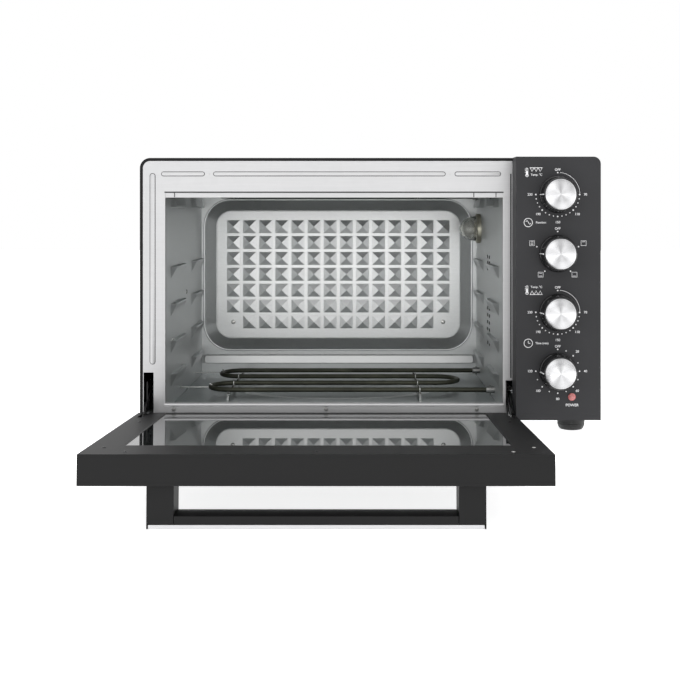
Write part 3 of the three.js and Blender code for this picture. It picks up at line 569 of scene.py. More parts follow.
# Its band from 20.7 to 35.7 mm is painted shade over the back wall's rib.
ALUMINISED = Sheet(
    "aluminised_back_sheet", Slot.GALVANISED, (0.73, 0.74, 0.735), 0.3, 0.03, 500.0,
    (4.0, 20.0, 20.0), 0.85, (20.7 * MM, 35.7 * MM))
DULL_SHEET = Sheet(
    "dull_lining_sheet", Slot.GALVANISED, (0.3, 0.33, 0.335), 0.34, 0.14, 160.0,
    (4.0, 20.0, 20.0))
PLATED = Sheet(
    "plated_hardware", Slot.BRIGHT_STEEL, (0.6, 0.6, 0.58), 0.24, 0.06, 900.0,
    (60.0, 60.0, 60.0))
DARK_STEEL = Sheet(
    "dark_steel", Slot.DARK_STEEL, (0.2, 0.2, 0.2), 0.3, 0.2, 700.0, (50.0, 50.0, 50.0))
OLIVE_SHEATH = Sheath("heater_sheath", Slot.ELEMENT_SHEATH, (0.05, 0.052, 0.036))
LAMP_GLASS = Glass("lamp_glass", Slot.CLEAR_GLASS, (0.95, 0.955, 0.92), 0.86, 1.35)
BULB_GLASS = Moulded("frosted_bulb", Slot.CLEAR_GLASS, (0.93, 0.93, 0.9), 0.25, 900.0, 0.05)
LAMP_RING = Sheet(
    "lamp_ring", Slot.SWITCH_RESIN, (0.56, 0.54, 0.44), 0.36, 0.05, 700.0, (40.0, 40.0, 40.0), 0.7)
DOOR_GLASS = Glass("door_glass", Slot.TINTED_GLASS, (0.06, 0.066, 0.066), 0.35, 1.6)
MIRROR_GLASS = Glass("mirrored_inner_glass", Slot.TINTED_GLASS, (0.02, 0.022, 0.022), 0.12, 2.7)
CREAM_RESIN = Moulded("cream_resin", Slot.SWITCH_RESIN, (0.66, 0.62, 0.52), 0.5)
LENS_RED = Lens("signal_lens", Slot.RED_LENS, (0.42, 0.12, 0.115))
RUBBER = Moulded("foot_rubber", Slot.BLACK_RUBBER, (0.013, 0.013, 0.013), 0.7, 1400.0, 0.3, 0.2)
GLOSS_BLACK = Moulded("knob_black", Slot.BLACK_PLASTIC, (0.01, 0.01, 0.0105), 0.16, 2600.0, 0.06)
GLOSS_STEEL = Paint("gloss_hinge_black", Slot.DARK_STEEL, (0.012, 0.012, 0.012), 0.12, 900.0, 0.04)
# Dark paint for the lines and notches on the silver front: painted shade along its folds.
PAINTED_FOLD_SHADE = Paint("painted_fold_shade", Slot.DARK_STEEL, (0.05, 0.05, 0.051), 0.5, 900.0, 0.04)
TRIM_ALUMINIUM = Sheet(
    "brushed_trim", Slot.SPUN_ALUMINIUM, (0.54, 0.54, 0.55), 0.32, 0.02, 300.0,
    (1.0, 90.0, 90.0))
WHITE_INK = Ink("printed_marks", Slot.BLACK_PLASTIC, (0.75, 0.75, 0.76))


# -------------------------------------------------------------------------- modelling
def lay_down_tools() -> None:
    """Leaves edit mode with nothing selected."""
    if bpy.context.mode != "OBJECT":
        bpy.ops.object.mode_set(mode="OBJECT")
    bpy.ops.object.select_all(action="DESELECT")


def take(piece: bpy.types.Object) -> bpy.types.Object:
    """Selects one piece alone and makes it active.

    Args:
        piece: The piece.

    Returns:
        The piece.
    """
    lay_down_tools()
    piece.select_set(True)
    bpy.context.view_layer.objects.active = piece
    return piece


def settle(piece: bpy.types.Object, name: str) -> bpy.types.Object:
    """Names a piece and puts its place into its mesh.

    Args:
        piece: The piece.
        name: Its name.

    Returns:
        The piece.
    """
    take(piece)
    bpy.ops.object.transform_apply(location=True, rotation=True, scale=True)
    piece.name = name
    piece.data.name = name
    return piece


def pick_faces(piece: bpy.types.Object, test: PairTest) -> None:
    """Opens a piece with only the faces that pass a test selected.

    Args:
        piece: The piece.
        test: What to ask of each face's middle and normal.
    """
    take(piece)
    bpy.ops.object.mode_set(mode="EDIT")
    bpy.ops.mesh.select_mode(type="FACE")
    bpy.ops.mesh.select_all(action="DESELECT")
    bpy.ops.object.mode_set(mode="OBJECT")
    for face in piece.data.polygons:
        face.select = test(face.center, face.normal)
    bpy.ops.object.mode_set(mode="EDIT")


def pick_edges(piece: bpy.types.Object, test: PairTest) -> None:
    """Opens a piece with only the edges that pass a test selected.

    Args:
        piece: The piece.
        test: What to ask of each edge's two ends.
    """
    take(piece)
    bpy.ops.object.mode_set(mode="EDIT")
    bpy.ops.mesh.select_mode(type="EDGE")
    bpy.ops.mesh.select_all(action="DESELECT")
    bpy.ops.object.mode_set(mode="OBJECT")
    points = piece.data.vertices
    for edge in piece.data.edges:
        first, second = edge.vertices
        edge.select = test(points[first].co, points[second].co)
    bpy.ops.object.mode_set(mode="EDIT")


def close(piece: bpy.types.Object, angle: float = 35.0) -> bpy.types.Object:
    """Merges a piece's doubles, turns its faces outwards and shades it.

    Args:
        piece: The piece.
        angle: The sharpest fold, in degrees, that is shaded as a curve.

    Returns:
        The piece.
    """
    take(piece)
    bpy.ops.object.mode_set(mode="EDIT")
    bpy.ops.mesh.select_all(action="SELECT")
    bpy.ops.mesh.remove_doubles(threshold=WELD)
    bpy.ops.mesh.normals_make_consistent(inside=False)
    bpy.ops.object.mode_set(mode="OBJECT")
    bpy.ops.object.shade_smooth_by_angle(angle=math.radians(angle))
    return piece


def level(piece: bpy.types.Object) -> bpy.types.Object:
    """Keeps a piece's flat faces flat in shading, right up to their rounded edges.

    Args:
        piece: The piece.

    Returns:
        The piece.
    """
    take(piece)
    modifier = piece.modifiers.new("level", "WEIGHTED_NORMAL")
    modifier.weight = 100
    modifier.keep_sharp = True
    bpy.ops.object.modifier_apply(modifier=modifier.name)
    return piece


def soften(
    piece: bpy.types.Object, width: float, segments: int = 2, angle: float = 30.0,
    smooth: float = 35.0,
) -> bpy.types.Object:
    """Rounds a piece's sharp edges.

    Args:
        piece: The piece.
        width: The width of the rounding, in metres.
        segments: How many strips it has.
        angle: The flattest fold, in degrees, that is rounded.
        smooth: The sharpest fold, in degrees, that is shaded as a curve.

    Returns:
        The piece.
    """
    take(piece)
    modifier = piece.modifiers.new("edges", "BEVEL")
    modifier.width = width
    modifier.segments = segments
    modifier.limit_method = "ANGLE"
    modifier.angle_limit = math.radians(angle)
    modifier.use_clamp_overlap = True
    bpy.ops.object.modifier_apply(modifier=modifier.name)
    return level(close(piece, smooth))


def block(
    name: str, low: Sequence[float], high: Sequence[float], rounding: float = 0.4 * MM,
    segments: int = 3,
) -> bpy.types.Object:
    """A block with rounded edges between two corners.

    Args:
        name: The piece's name.
        low: Its lowest corner.
        high: Its highest corner.
        rounding: The width of its rounded edges.
        segments: How many strips the rounding has.

    Returns:
        The piece.
    """
    lay_down_tools()
    middle = [(a + b) / 2 for a, b in zip(low, high)]
    bpy.ops.mesh.primitive_cube_add(size=1.0, location=middle)
    piece = bpy.context.active_object
    piece.scale = [b - a for a, b in zip(low, high)]
    settle(piece, name)
    return soften(piece, rounding, segments)


def in_metres(profile: Profile) -> list[tuple[float, float]]:
    """A profile that was drawn in millimetres, in metres."""
    return [(radius * MM, station * MM) for radius, station in profile]


def turned(
    name: str,
    profile: Profile,
    place: Sequence[float],
    axis: Axis,
    sides: int = 48,
    hollow: bool = False,
) -> bpy.types.Object:
    """A piece turned on a lathe, drawn out ring by ring.

    Args:
        name: The piece's name.
        profile: The radius and station of each ring, the first and last of them closed.
        place: Where station zero is.
        axis: The way in which the stations run.
        sides: How many sides each ring has.
        hollow: Whether the first and last ring are joined to each other instead.

    Returns:
        The piece.
    """
    lay_down_tools()
    radius, station = profile[0]
    bpy.ops.mesh.primitive_circle_add(
        vertices=sides, radius=radius, fill_type="NOTHING" if hollow else "NGON",
        location=(0.0, 0.0, station))
    piece = settle(bpy.context.active_object, name)
    bpy.ops.object.mode_set(mode="EDIT")
    bpy.ops.mesh.select_mode(type="EDGE" if hollow else "FACE")
    bpy.ops.mesh.select_all(action="SELECT")
    for next_radius, next_station in profile[1:]:
        bpy.ops.mesh.extrude_region_move(
            TRANSFORM_OT_translate={"value": (0.0, 0.0, next_station - station)})
        share = next_radius / radius
        bpy.ops.transform.resize(
            value=(share, share, 1.0), center_override=(0.0, 0.0, next_station))
        radius, station = next_radius, next_station
    if hollow:
        bpy.ops.mesh.select_all(action="DESELECT")
        bpy.ops.mesh.select_non_manifold()
        bpy.ops.mesh.bridge_edge_loops()
    bpy.ops.object.mode_set(mode="OBJECT")
    piece.rotation_euler = axis.value
    piece.location = place
    settle(piece, name)
    return close(piece)


def rod(
    name: str, points: Sequence[Point], radius: float, sides: int = 12, closed: bool = False
) -> bpy.types.Object:
    """A round rod bent through a run of points.

    Args:
        name: The piece's name.
        points: The points of its middle line.
        radius: Its radius.
        sides: How many sides it has, a multiple of four.
        closed: Whether its ends meet.

    Returns:
        The piece.
    """
    lay_down_tools()
    line = bpy.data.curves.new(name, "CURVE")
    line.dimensions = "3D"
    line.bevel_depth = radius
    line.bevel_resolution = sides // 4
    line.use_fill_caps = True
    spline = line.splines.new("POLY")
    spline.points.add(len(points) - 1)
    for knot, point in zip(spline.points, points):
        knot.co = (*point, 1.0)
    spline.use_cyclic_u = closed
    piece = bpy.data.objects.new(name, line)
    bpy.context.scene.collection.objects.link(piece)
    take(piece)
    bpy.ops.object.convert(target="MESH")
    return close(settle(bpy.context.active_object, name), 50.0)


def joined(pieces: Sequence[bpy.types.Object], name: str) -> bpy.types.Object:
    """Several pieces as one.

    Args:
        pieces: The pieces.
        name: The name of the whole.

    Returns:
        The whole.
    """
    take(pieces[0])
    for piece in pieces:
        piece.select_set(True)
    bpy.ops.object.join()
    return settle(bpy.context.active_object, name)


def copied(
    piece: bpy.types.Object, name: str, shift: Sequence[float]
) -> bpy.types.Object:
    """A copy of a piece with its own mesh, moved along.

    Args:
        piece: The piece to copy.
        name: The copy's name.
        shift: How far it is moved.

    Returns:
        The copy.
    """
    twin = piece.copy()
    twin.data = piece.data.copy()
    twin.data.transform(Matrix.Translation(Vector(shift)))
    bpy.context.scene.collection.objects.link(twin)
    twin.name = name
    twin.data.name = name
    return twin


def redrawn(node: str, name: str) -> bpy.types.Object:
    """A copy of a frame node, merged and with its flat faces whole, ready to be finished.

    Args:
        node: The node.
        name: The copy's name.

    Returns:
        The copy.
    """
    twin = copied(frame["nodes"][node], name, (0.0, 0.0, 0.0))
    twin.parent = None
    for key in list(twin.keys()):
        del twin[key]
    twin.data.materials.clear()
    take(twin)
    bpy.ops.mesh.customdata_custom_splitnormals_clear()
    bpy.ops.object.mode_set(mode="EDIT")
    bpy.ops.mesh.select_all(action="SELECT")
    bpy.ops.mesh.remove_doubles(threshold=WELD)
    bpy.ops.mesh.dissolve_limited(angle_limit=math.radians(0.6))
    bpy.ops.object.mode_set(mode="OBJECT")
    return twin


class Assembly:
    """A group of pieces that are made, dressed and fitted together."""

    def wear(self, piece: bpy.types.Object, finish: Finish) -> bpy.types.Object:
        """Gives a piece its finish.

        Args:
            piece: The piece.
            finish: The finish.

        Returns:
            The piece.
        """
        piece.data.materials.clear()
        piece.data.materials.append(finish.material())
        return piece

    def fit(
        self, piece: bpy.types.Object, finish: Finish, body: Body = Body.OVEN,
        stands_for: Sequence[str] = (),
    ) -> bpy.types.Object:
        """Finishes a new piece and hangs it on its body.

        Args:
            piece: The piece.
            finish: What it is made of.
            body: The body that it rides on.
            stands_for: The frame nodes that it takes the place of.

        Returns:
            The piece.
        """
        self.wear(piece, finish)
        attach(piece, body.value)
        if stands_for:
            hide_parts(*stands_for)
        LOG.info("%s: %d faces on %s", piece.name, len(piece.data.polygons), body.value)
        return piece

    def dress(self, finishes: dict[Finish, Iterable[str]]) -> None:
        """Gives frame nodes their finishes.

        Args:
            finishes: Each finish with the nodes that wear it.
        """
        for finish, nodes in finishes.items():
            for node in nodes:
                material = finish.material()
                slots = frame["nodes"][node].material_slots
                for slot in slots:
                    slot.material = material
                LOG.info("%s: %s", node, finish.name)

    def refine(
        self, node: str, finish: Finish, body: Body, width: float, segments: int = 2,
        angle: float = 30.0, smooth: float = 35.0,
    ) -> bpy.types.Object:
        """Puts a finished copy with rounded edges in a frame node's place.

        Args:
            node: The node.
            finish: What it is made of.
            body: The body that it rides on.
            width: The width of its rounded edges.
            segments: How many strips they have.
            angle: The flattest fold, in degrees, that is rounded.
            smooth: The sharpest fold, in degrees, that is shaded as a curve.

        Returns:
            The copy.
        """
        piece = soften(redrawn(node, f"{node}_finished"), width, segments, angle, smooth)
        return self.fit(piece, finish, body, (node,))


def low_of(node: str) -> Vector:
    """The lowest corner of a frame node."""
    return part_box(node)[0]


def high_of(node: str) -> Vector:
    """The highest corner of a frame node."""
    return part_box(node)[1]


def middle_of(node: str) -> Vector:
    """The middle of a frame node's box."""
    low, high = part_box(node)
    return (low + high) / 2


# ----------------------------------------------------------------------------- casing
@dataclass
class CrossScrew(Assembly):
    """A pan-head screw with a cross recess."""

    radius: float = 3.2 * MM
    rise: float = 1.5 * MM
    slot: float = 0.8 * MM

    def build(self, name: str, place: Sequence[float], axis: Axis) -> bpy.types.Object:
        """Makes one screw head.

        Args:
            name: The piece's name.
            place: The middle of its seat.
            axis: The way that it faces.

        Returns:
            The piece.
        """
        profile = [(self.radius * 0.98, 0.0), (self.radius, self.rise * 0.3),
                   (self.radius * 0.9, self.rise * 0.72), (self.radius * 0.66, self.rise * 0.95),
                   (self.radius * 0.3, self.rise)]
        head = turned(name, profile, (0.0, 0.0, 0.0), Axis.UP, 24)
        reach = self.radius * 0.62
        bars = [
            block(f"{name}_bar_{turn}", (-a, -b, self.rise * 0.35), (a, b, self.rise * 2),
                  0.1 * MM, 1)
            for turn, (a, b) in enumerate([(reach, self.slot / 2), (self.slot / 2, reach)])
        ]
        for cutter in bars:
            modifier = head.modifiers.new("cross", "BOOLEAN")
            modifier.operation = "DIFFERENCE"
            modifier.object = cutter
            take(head)
            bpy.ops.object.modifier_apply(modifier=modifier.name)
            bpy.data.objects.remove(cutter)
        head.rotation_euler = axis.value
        head.location = place
        return close(settle(head, name))


@dataclass
class Casing(Assembly):
    """The painted cover, the silver front sheet, the back and the feet."""

    bead_rise: float = 0.55 * MM
    bead_crown: float = 0.25 * MM
    bead_height: float = 4.4 * MM
    bead_z: float = 304.8 * MM
    bead_spans: tuple[tuple[float, float], ...] = (
        (-259.7 * MM, -206.2 * MM), (-194.0 * MM, 97.9 * MM), (111.0 * MM, 167.9 * MM))
    side_bead: tuple[float, float, float, float] = (
        -274.2 * MM, -268.5 * MM, 65.0 * MM, 305.0 * MM)
    dimple_radius: float = 1.7 * MM
    dimple_x: float = -200.4 * MM
    dimple_pitch: float = 304.8 * MM
    fold_shadow: tuple[float, float] = (47.0 * MM, 305.0 * MM)
    shade_line_radius: float = 0.85 * MM
    top_lip_z: float = 281.7 * MM
    roll_z: float = 12.7 * MM
    roll_radius: float = 2.5 * MM
    side_lip: tuple[float, float] = (15.4 * MM, 281.3 * MM)
    side_lip_depth: float = 12.0 * MM
    lip_notch: tuple[float, float] = (275.4 * MM, 281.2 * MM)
    foot_radius: float = 17.5 * MM
    back_screw_inset: float = 14.0 * MM
    back_screw_margin: float = 9.0 * MM
    back_screw_share: float = 0.36
    side_screw_z: float = 13.0 * MM
    gland_length: float = 12.0 * MM
    side_screw_ys: tuple[float, ...] = (-150.0 * MM, 0.0, 150.0 * MM)

    def bead(
        self, name: str, low: tuple[float, float], high: tuple[float, float]
    ) -> bpy.types.Object:
        """A pressed bead with round ends on the silver front.

        Args:
            name: The piece's name.
            low: Its least X and Z.
            high: Its greatest X and Z.

        Returns:
            The piece.
        """
        (x0, z0), (x1, z1) = low, high
        lay_down_tools()
        bpy.ops.mesh.primitive_cube_add(
            size=1.0, location=((x0 + x1) / 2, low_of("front_frame").y, (z0 + z1) / 2))
        piece = bpy.context.active_object
        piece.scale = (x1 - x0, 2 * self.bead_rise, z1 - z0)
        settle(piece, name)
        radius = min(x1 - x0, z1 - z0) / 2
        pick_edges(piece, lambda a, b: abs(a.y - b.y) > self.bead_rise)
        bpy.ops.mesh.bevel(offset=radius * 0.96, segments=8)
        pick_faces(piece, lambda middle, normal: normal.y < -0.9)
        bpy.ops.mesh.inset(thickness=0.5 * MM)
        lay_down_tools()
        rim = radius * 0.3
        pick_faces(piece, lambda middle, normal: normal.y < -0.9 and
                   x0 + rim < middle.x < x1 - rim and z0 + rim < middle.z < z1 - rim)
        bpy.ops.transform.translate(value=(0.0, -self.bead_crown, 0.0))
        lay_down_tools()
        return close(piece, 40.0)

    def build_front(self) -> None:
        """Presses the beads and dimples into the silver front."""
        half = self.bead_height / 2
        for order, (start, end) in enumerate(self.bead_spans, 1):
            self.fit(self.bead(f"front_bead_{order}", (start, self.bead_z - half),
                               (end, self.bead_z + half)), SILVER_FACE)
        x0, x1, z0, z1 = self.side_bead
        self.fit(self.bead("front_bead_side", (x0, z0), (x1, z1)), SILVER_FACE)
        front = low_of("front_frame").y
        profile = [(self.dimple_radius, 0.0), (self.dimple_radius * 0.95, 0.3 * MM),
                   (self.dimple_radius * 0.6, 0.5 * MM)]
        dimple = turned("front_dimple_left", profile, (self.dimple_x, front, self.bead_z),
                        Axis.FORWARD, 20)
        self.fit(copied(dimple, "front_dimple_right", (self.dimple_pitch, 0.0, 0.0)),
                 SILVER_FACE)
        self.fit(dimple, SILVER_FACE)
        self.build_folds_and_shade_lines()
        right = low_of("control_panel").x
        bottom, top = self.fold_shadow
        self.fit(block("front_fold_shadow", (right - 2.7 * MM, front - 0.15 * MM, bottom),
                       (right - 1.1 * MM, front + 0.2 * MM, top), 0.1 * MM, 1), BLACK_COAT)

    def shade_line(self, name: str, points: Sequence[tuple[float, float]], closed: bool) -> None:
        """Lays a dark line of painted shade along a fold of the silver front.

        Args:
            name: The piece's name.
            points: The X and Z of its points.
            closed: Whether its ends meet.
        """
        front = low_of("front_frame").y
        line = rod(name, [(x, front, z) for x, z in points], self.shade_line_radius, 8, closed)
        for point in line.data.vertices:
            point.co.y = front + (point.co.y - front) * 0.5
        self.fit(close(line), PAINTED_FOLD_SHADE)

    def capsule(self, x0: float, x1: float, z0: float, z1: float) -> list[tuple[float, float]]:
        """The points round a bar with round ends.

        Args:
            x0: Its least X.
            x1: Its greatest X.
            z0: Its least Z.
            z1: Its greatest Z.

        Returns:
            The X and Z of each point.
        """
        radius = min(x1 - x0, z1 - z0) / 2
        corners = [(x1 - radius, z0 + radius, -90), (x1 - radius, z1 - radius, 0),
                   (x0 + radius, z1 - radius, 90), (x0 + radius, z0 + radius, 180)]
        points = []
        for x, z, start in corners:
            for step in range(7):
                turn = math.radians(start + 15 * step)
                points.append((x + radius * math.cos(turn), z + radius * math.sin(turn)))
        return points

    def build_folds_and_shade_lines(self) -> None:
        """Lays painted shade lines round the beads and along the top lip, rolls the bottom lip,
        adds the side lips and paints the top lip's notches dark as painted shade.
        """
        half = self.bead_height / 2
        # Dark lines of painted shade round each bead.
        for order, (start, end) in enumerate(self.bead_spans, 1):
            self.shade_line(f"front_bead_line_{order}", self.capsule(
                start, end, self.bead_z - half, self.bead_z + half), True)
        self.shade_line("front_bead_line_side", self.capsule(*self.side_bead), True)
        left, right = low_of("cavity_left_wall").x, high_of("cavity_right_wall").x
        # A dark line of painted shade along the top lip.
        self.shade_line("top_lip_shade_line", [(left, self.top_lip_z), (right, self.top_lip_z)], False)
        front = low_of("front_frame").y
        roll = rod("bottom_lip_roll", [(x, front + 0.7 * MM, self.roll_z) for x in (left, right)],
                   self.roll_radius, 24)
        self.fit(roll, SILVER_FACE)
        bottom, top = self.side_lip
        for side, x in (("left", left), ("right", right - SHEET)):
            lip = block(f"front_side_lip_{side}", (x, front + 0.6 * MM, bottom),
                        (x + SHEET, front + self.side_lip_depth, top), 0.15 * MM, 2)
            self.fit(lip, SILVER_FACE)
        # Dark blocks of painted shade where the top lip's highlight breaks.
        bottom, top = self.lip_notch
        for order, x in enumerate((left + 12 * MM, right - 10 * MM, right - 38 * MM), 1):
            notch = block(f"top_lip_notch_shade_{order}", (x, front + 0.5 * MM, bottom),
                          (x + 1.1 * MM, front + 0.95 * MM, top), 0.1 * MM, 1)
            self.fit(notch, PAINTED_FOLD_SHADE)

    def build_feet(self) -> None:
        """Turns one ringed rubber foot and copies it to each corner."""
        rings = [(0.96, 0.0), (1.0, 0.6), (1.0, 16.5), (0.97, 17.1), (1.0, 17.7), (0.99, 19.5),
                 (0.93, 22.8), (0.82, 25.2), (0.72, 25.7), (0.36, 25.7), (0.32, 20.0)]
        profile = [(self.foot_radius * share, station * MM) for share, station in rings]
        nodes = ["front_left_foot", "front_right_foot", "rear_left_foot", "rear_right_foot"]
        first = middle_of(nodes[0])
        top = high_of(nodes[0]).z
        pattern = turned("foot_pattern", profile, (first.x, first.y, top), Axis.DOWN, 40)
        for node in nodes:
            shift = middle_of(node) - first
            self.fit(copied(pattern, f"{node}_turned", shift), RUBBER, Body.OVEN, (node,))
        bpy.data.objects.remove(pattern)

    def build_screws(self) -> None:
        """Drives the screws of the back cover, the sides and the bottom lip."""
        low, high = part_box("back_cover")
        back = low.y + SHEET
        inset, margin = self.back_screw_inset, self.back_screw_margin
        step = self.back_screw_share * (high.x - low.x)
        xs = [low.x + inset, low.x + step, high.x - step, high.x - inset]
        places = [(x, back, z) for x in xs for z in (low.z + margin, high.z - margin)]
        places += [(x, back, (low.z + high.z) / 2) for x in (xs[0], xs[-1])]
        pattern = CrossScrew().build("screw_pattern", (0.0, 0.0, 0.0), Axis.BACKWARD)
        for order, place in enumerate(places, 1):
            self.fit(copied(pattern, f"back_screw_{order}", place), PLATED)
        bpy.data.objects.remove(pattern)
        flat = CrossScrew(3.0 * MM, 0.5 * MM, 0.7 * MM)
        cover_low, cover_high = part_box("outer_cover")
        for side, x, axis in (("left", cover_low.x, Axis.LEFT),
                              ("right", cover_high.x, Axis.RIGHT)):
            pattern = flat.build(f"{side}_screw_pattern", (x, 0.0, self.side_screw_z), axis)
            for order, y in enumerate(self.side_screw_ys, 1):
                self.fit(copied(pattern, f"{side}_cover_screw_{order}", (0.0, y, 0.0)), BLACK_COAT)
            bpy.data.objects.remove(pattern)
        small = CrossScrew(2.6 * MM, 1.1 * MM, 0.6 * MM)
        for order in (1, 2, 3):
            node = f"lip_screw_{order}"
            place = middle_of(node)
            place.y = low_of(node).y + small.rise
            self.fit(small.build(f"{node}_head", place, Axis.FORWARD), DARK_STEEL,
                     Body.OVEN, (node,))

    def build_gland(self) -> None:
        """Turns the ringed grommet that the lead passes through."""
        profile = [(6.6, -6.0), (6.6, 0.3), (9.0, 0.3), (9.0, 3.4), (8.4, 4.0), (7.6, 4.0),
                   (7.4, 5.2), (8.0, 5.6), (7.9, 7.2), (7.1, 7.6), (7.0, 8.8), (7.5, 9.2),
                   (7.3, 10.6), (6.6, 11.0), (6.4, 12.0), (3.6, 12.0), (3.4, 11.0), (3.4, -5.0)]
        place = middle_of("cable_gland")
        place.y = high_of("cable_gland").y - self.gland_length
        piece = turned("cable_gland_ringed", in_metres(profile), place, Axis.BACKWARD, 40)
        self.fit(piece, RUBBER, Body.OVEN, ("cable_gland",))

    def build(self) -> None:
        """Makes and dresses the casing."""
        self.refine("outer_cover", BLACK_COAT, Body.OVEN, 0.3 * MM)
        self.refine("back_cover", BLACK_COAT, Body.OVEN, 0.3 * MM, 1)
        self.refine("front_frame", SILVER_FACE, Body.OVEN, 0.25 * MM, 1)
        self.dress({GALVANISED: ["base_pan"]})
        self.build_front()
        self.build_feet()
        self.build_screws()
        self.build_gland()


# ----------------------------------------------------------------------------- cavity
@dataclass
class Cavity(Assembly):
    """The pressed lining of the oven."""

    tray: tuple[float, float, float, float] = (
        -252.6 * MM, 165.2 * MM, 41.15 * MM, 276.85 * MM)
    tray_corner: float = 42.0 * MM
    tray_depth: float = 15.0 * MM
    ring_radius: float = 74.0 * MM
    ring_half_width: float = 5.0 * MM
    ring_stretch: float = 1.7
    ring_rise: float = 0.5 * MM
    rail_screw: tuple[float, float] = (183.0 * MM, 144.0 * MM)
    rivets: tuple[float, float] = (53.0 * MM, 89.0 * MM)

    def build_screws(self) -> None:
        """Drives the back wall's screws and the left wall's."""
        head = CrossScrew(3.4 * MM, 1.7 * MM, 0.8 * MM)
        for order in (1, 2):
            node = f"back_wall_screw_{order}"
            place = middle_of(node)
            place.y = low_of(node).y + head.rise
            self.fit(head.build(f"{node}_head", place, Axis.FORWARD), PLATED,
                     Body.OVEN, (node,))
        face = low_of("cavity_left_wall").x + SHEET
        front = low_of("front_frame").y
        small = CrossScrew(3.0 * MM, 1.3 * MM, 0.7 * MM)
        depth, height = self.rail_screw
        self.fit(small.build("left_wall_screw", (face, front + depth, height), Axis.RIGHT), PLATED)
        profile = [(1.9 * MM, 0.0), (1.8 * MM, 0.5 * MM), (1.0 * MM, 0.9 * MM)]
        depth, height = self.rivets
        rivet = turned("left_wall_rivet_1", profile, (face, front + depth, height), Axis.RIGHT, 20)
        self.fit(copied(rivet, "left_wall_rivet_2", (0.0, 9 * MM, 0.6 * MM)), PLATED)
        self.fit(rivet, PLATED)

    def build_floor_ring(self) -> None:
        """Presses a stiffening ring into the floor."""
        middle = middle_of("cavity_floor")
        top = high_of("cavity_floor").z
        lay_down_tools()
        bpy.ops.mesh.primitive_torus_add(
            location=(middle.x, middle.y, top), major_radius=self.ring_radius,
            minor_radius=self.ring_half_width, major_segments=96, minor_segments=12)
        ring = bpy.context.active_object
        ring.scale = (self.ring_stretch, 1.0, self.ring_rise / self.ring_half_width)
        settle(ring, "floor_stiffening_ring")
        pick_faces(ring, lambda face, normal: face.z < top - 0.1 * MM)
        bpy.ops.mesh.delete(type="FACE")
        lay_down_tools()
        self.fit(close(ring, 60.0), GALVANISED)

    def rounded(self, inset: float, depth: float) -> list[Point]:
        """The points round the tray's outline at one depth behind the back wall's plate.

        Args:
            inset: How far inside the tray's mouth the line runs.
            depth: How far behind the plate it lies.

        Returns:
            The points.
        """
        x0, x1, z0, z1 = self.tray
        radius = self.tray_corner - inset
        y = self.plate() + depth
        points = []
        for x, z, start in ((x1 - inset - radius, z0 + inset + radius, -90),
                            (x1 - inset - radius, z1 - inset - radius, 0),
                            (x0 + inset + radius, z1 - inset - radius, 90),
                            (x0 + inset + radius, z0 + inset + radius, 180)):
            for step in range(13):
                turn = math.radians(start + 7.5 * step)
                points.append((x + radius * math.cos(turn), y, z + radius * math.sin(turn)))
        return points

    def plate(self) -> float:
        """The Y of the back wall's plate."""
        return high_of("cavity_back_wall").y - self.tray_depth - SHEET

    def build_tray_folds(self) -> None:
        """Rounds the tray's mouth and the foot of its slope with rolled folds."""
        mouth = rod("tray_mouth_fold", self.rounded(0.9 * MM, 0.5 * MM), 1.7 * MM, 16, True)
        self.fit(mouth, ALUMINISED)
        foot = rod("tray_foot_fold", self.rounded(18.2 * MM, self.tray_depth + 0.1 * MM),
                   0.95 * MM, 12, True)
        self.fit(foot, ALUMINISED)

    def build(self) -> None:
        """Makes and dresses the lining."""
        self.build_tray_folds()
        self.refine("cavity_left_wall", GALVANISED, Body.OVEN, 1.3 * MM, 4)
        self.refine("cavity_right_wall", GALVANISED, Body.OVEN, 1.3 * MM, 4)
        self.refine("cavity_back_wall", ALUMINISED, Body.OVEN, 1.9 * MM, 5, 25.0, 12.5)
        self.dress({DULL_SHEET: ["cavity_floor", "cavity_roof"]})
        self.build_screws()
        self.build_floor_ring()


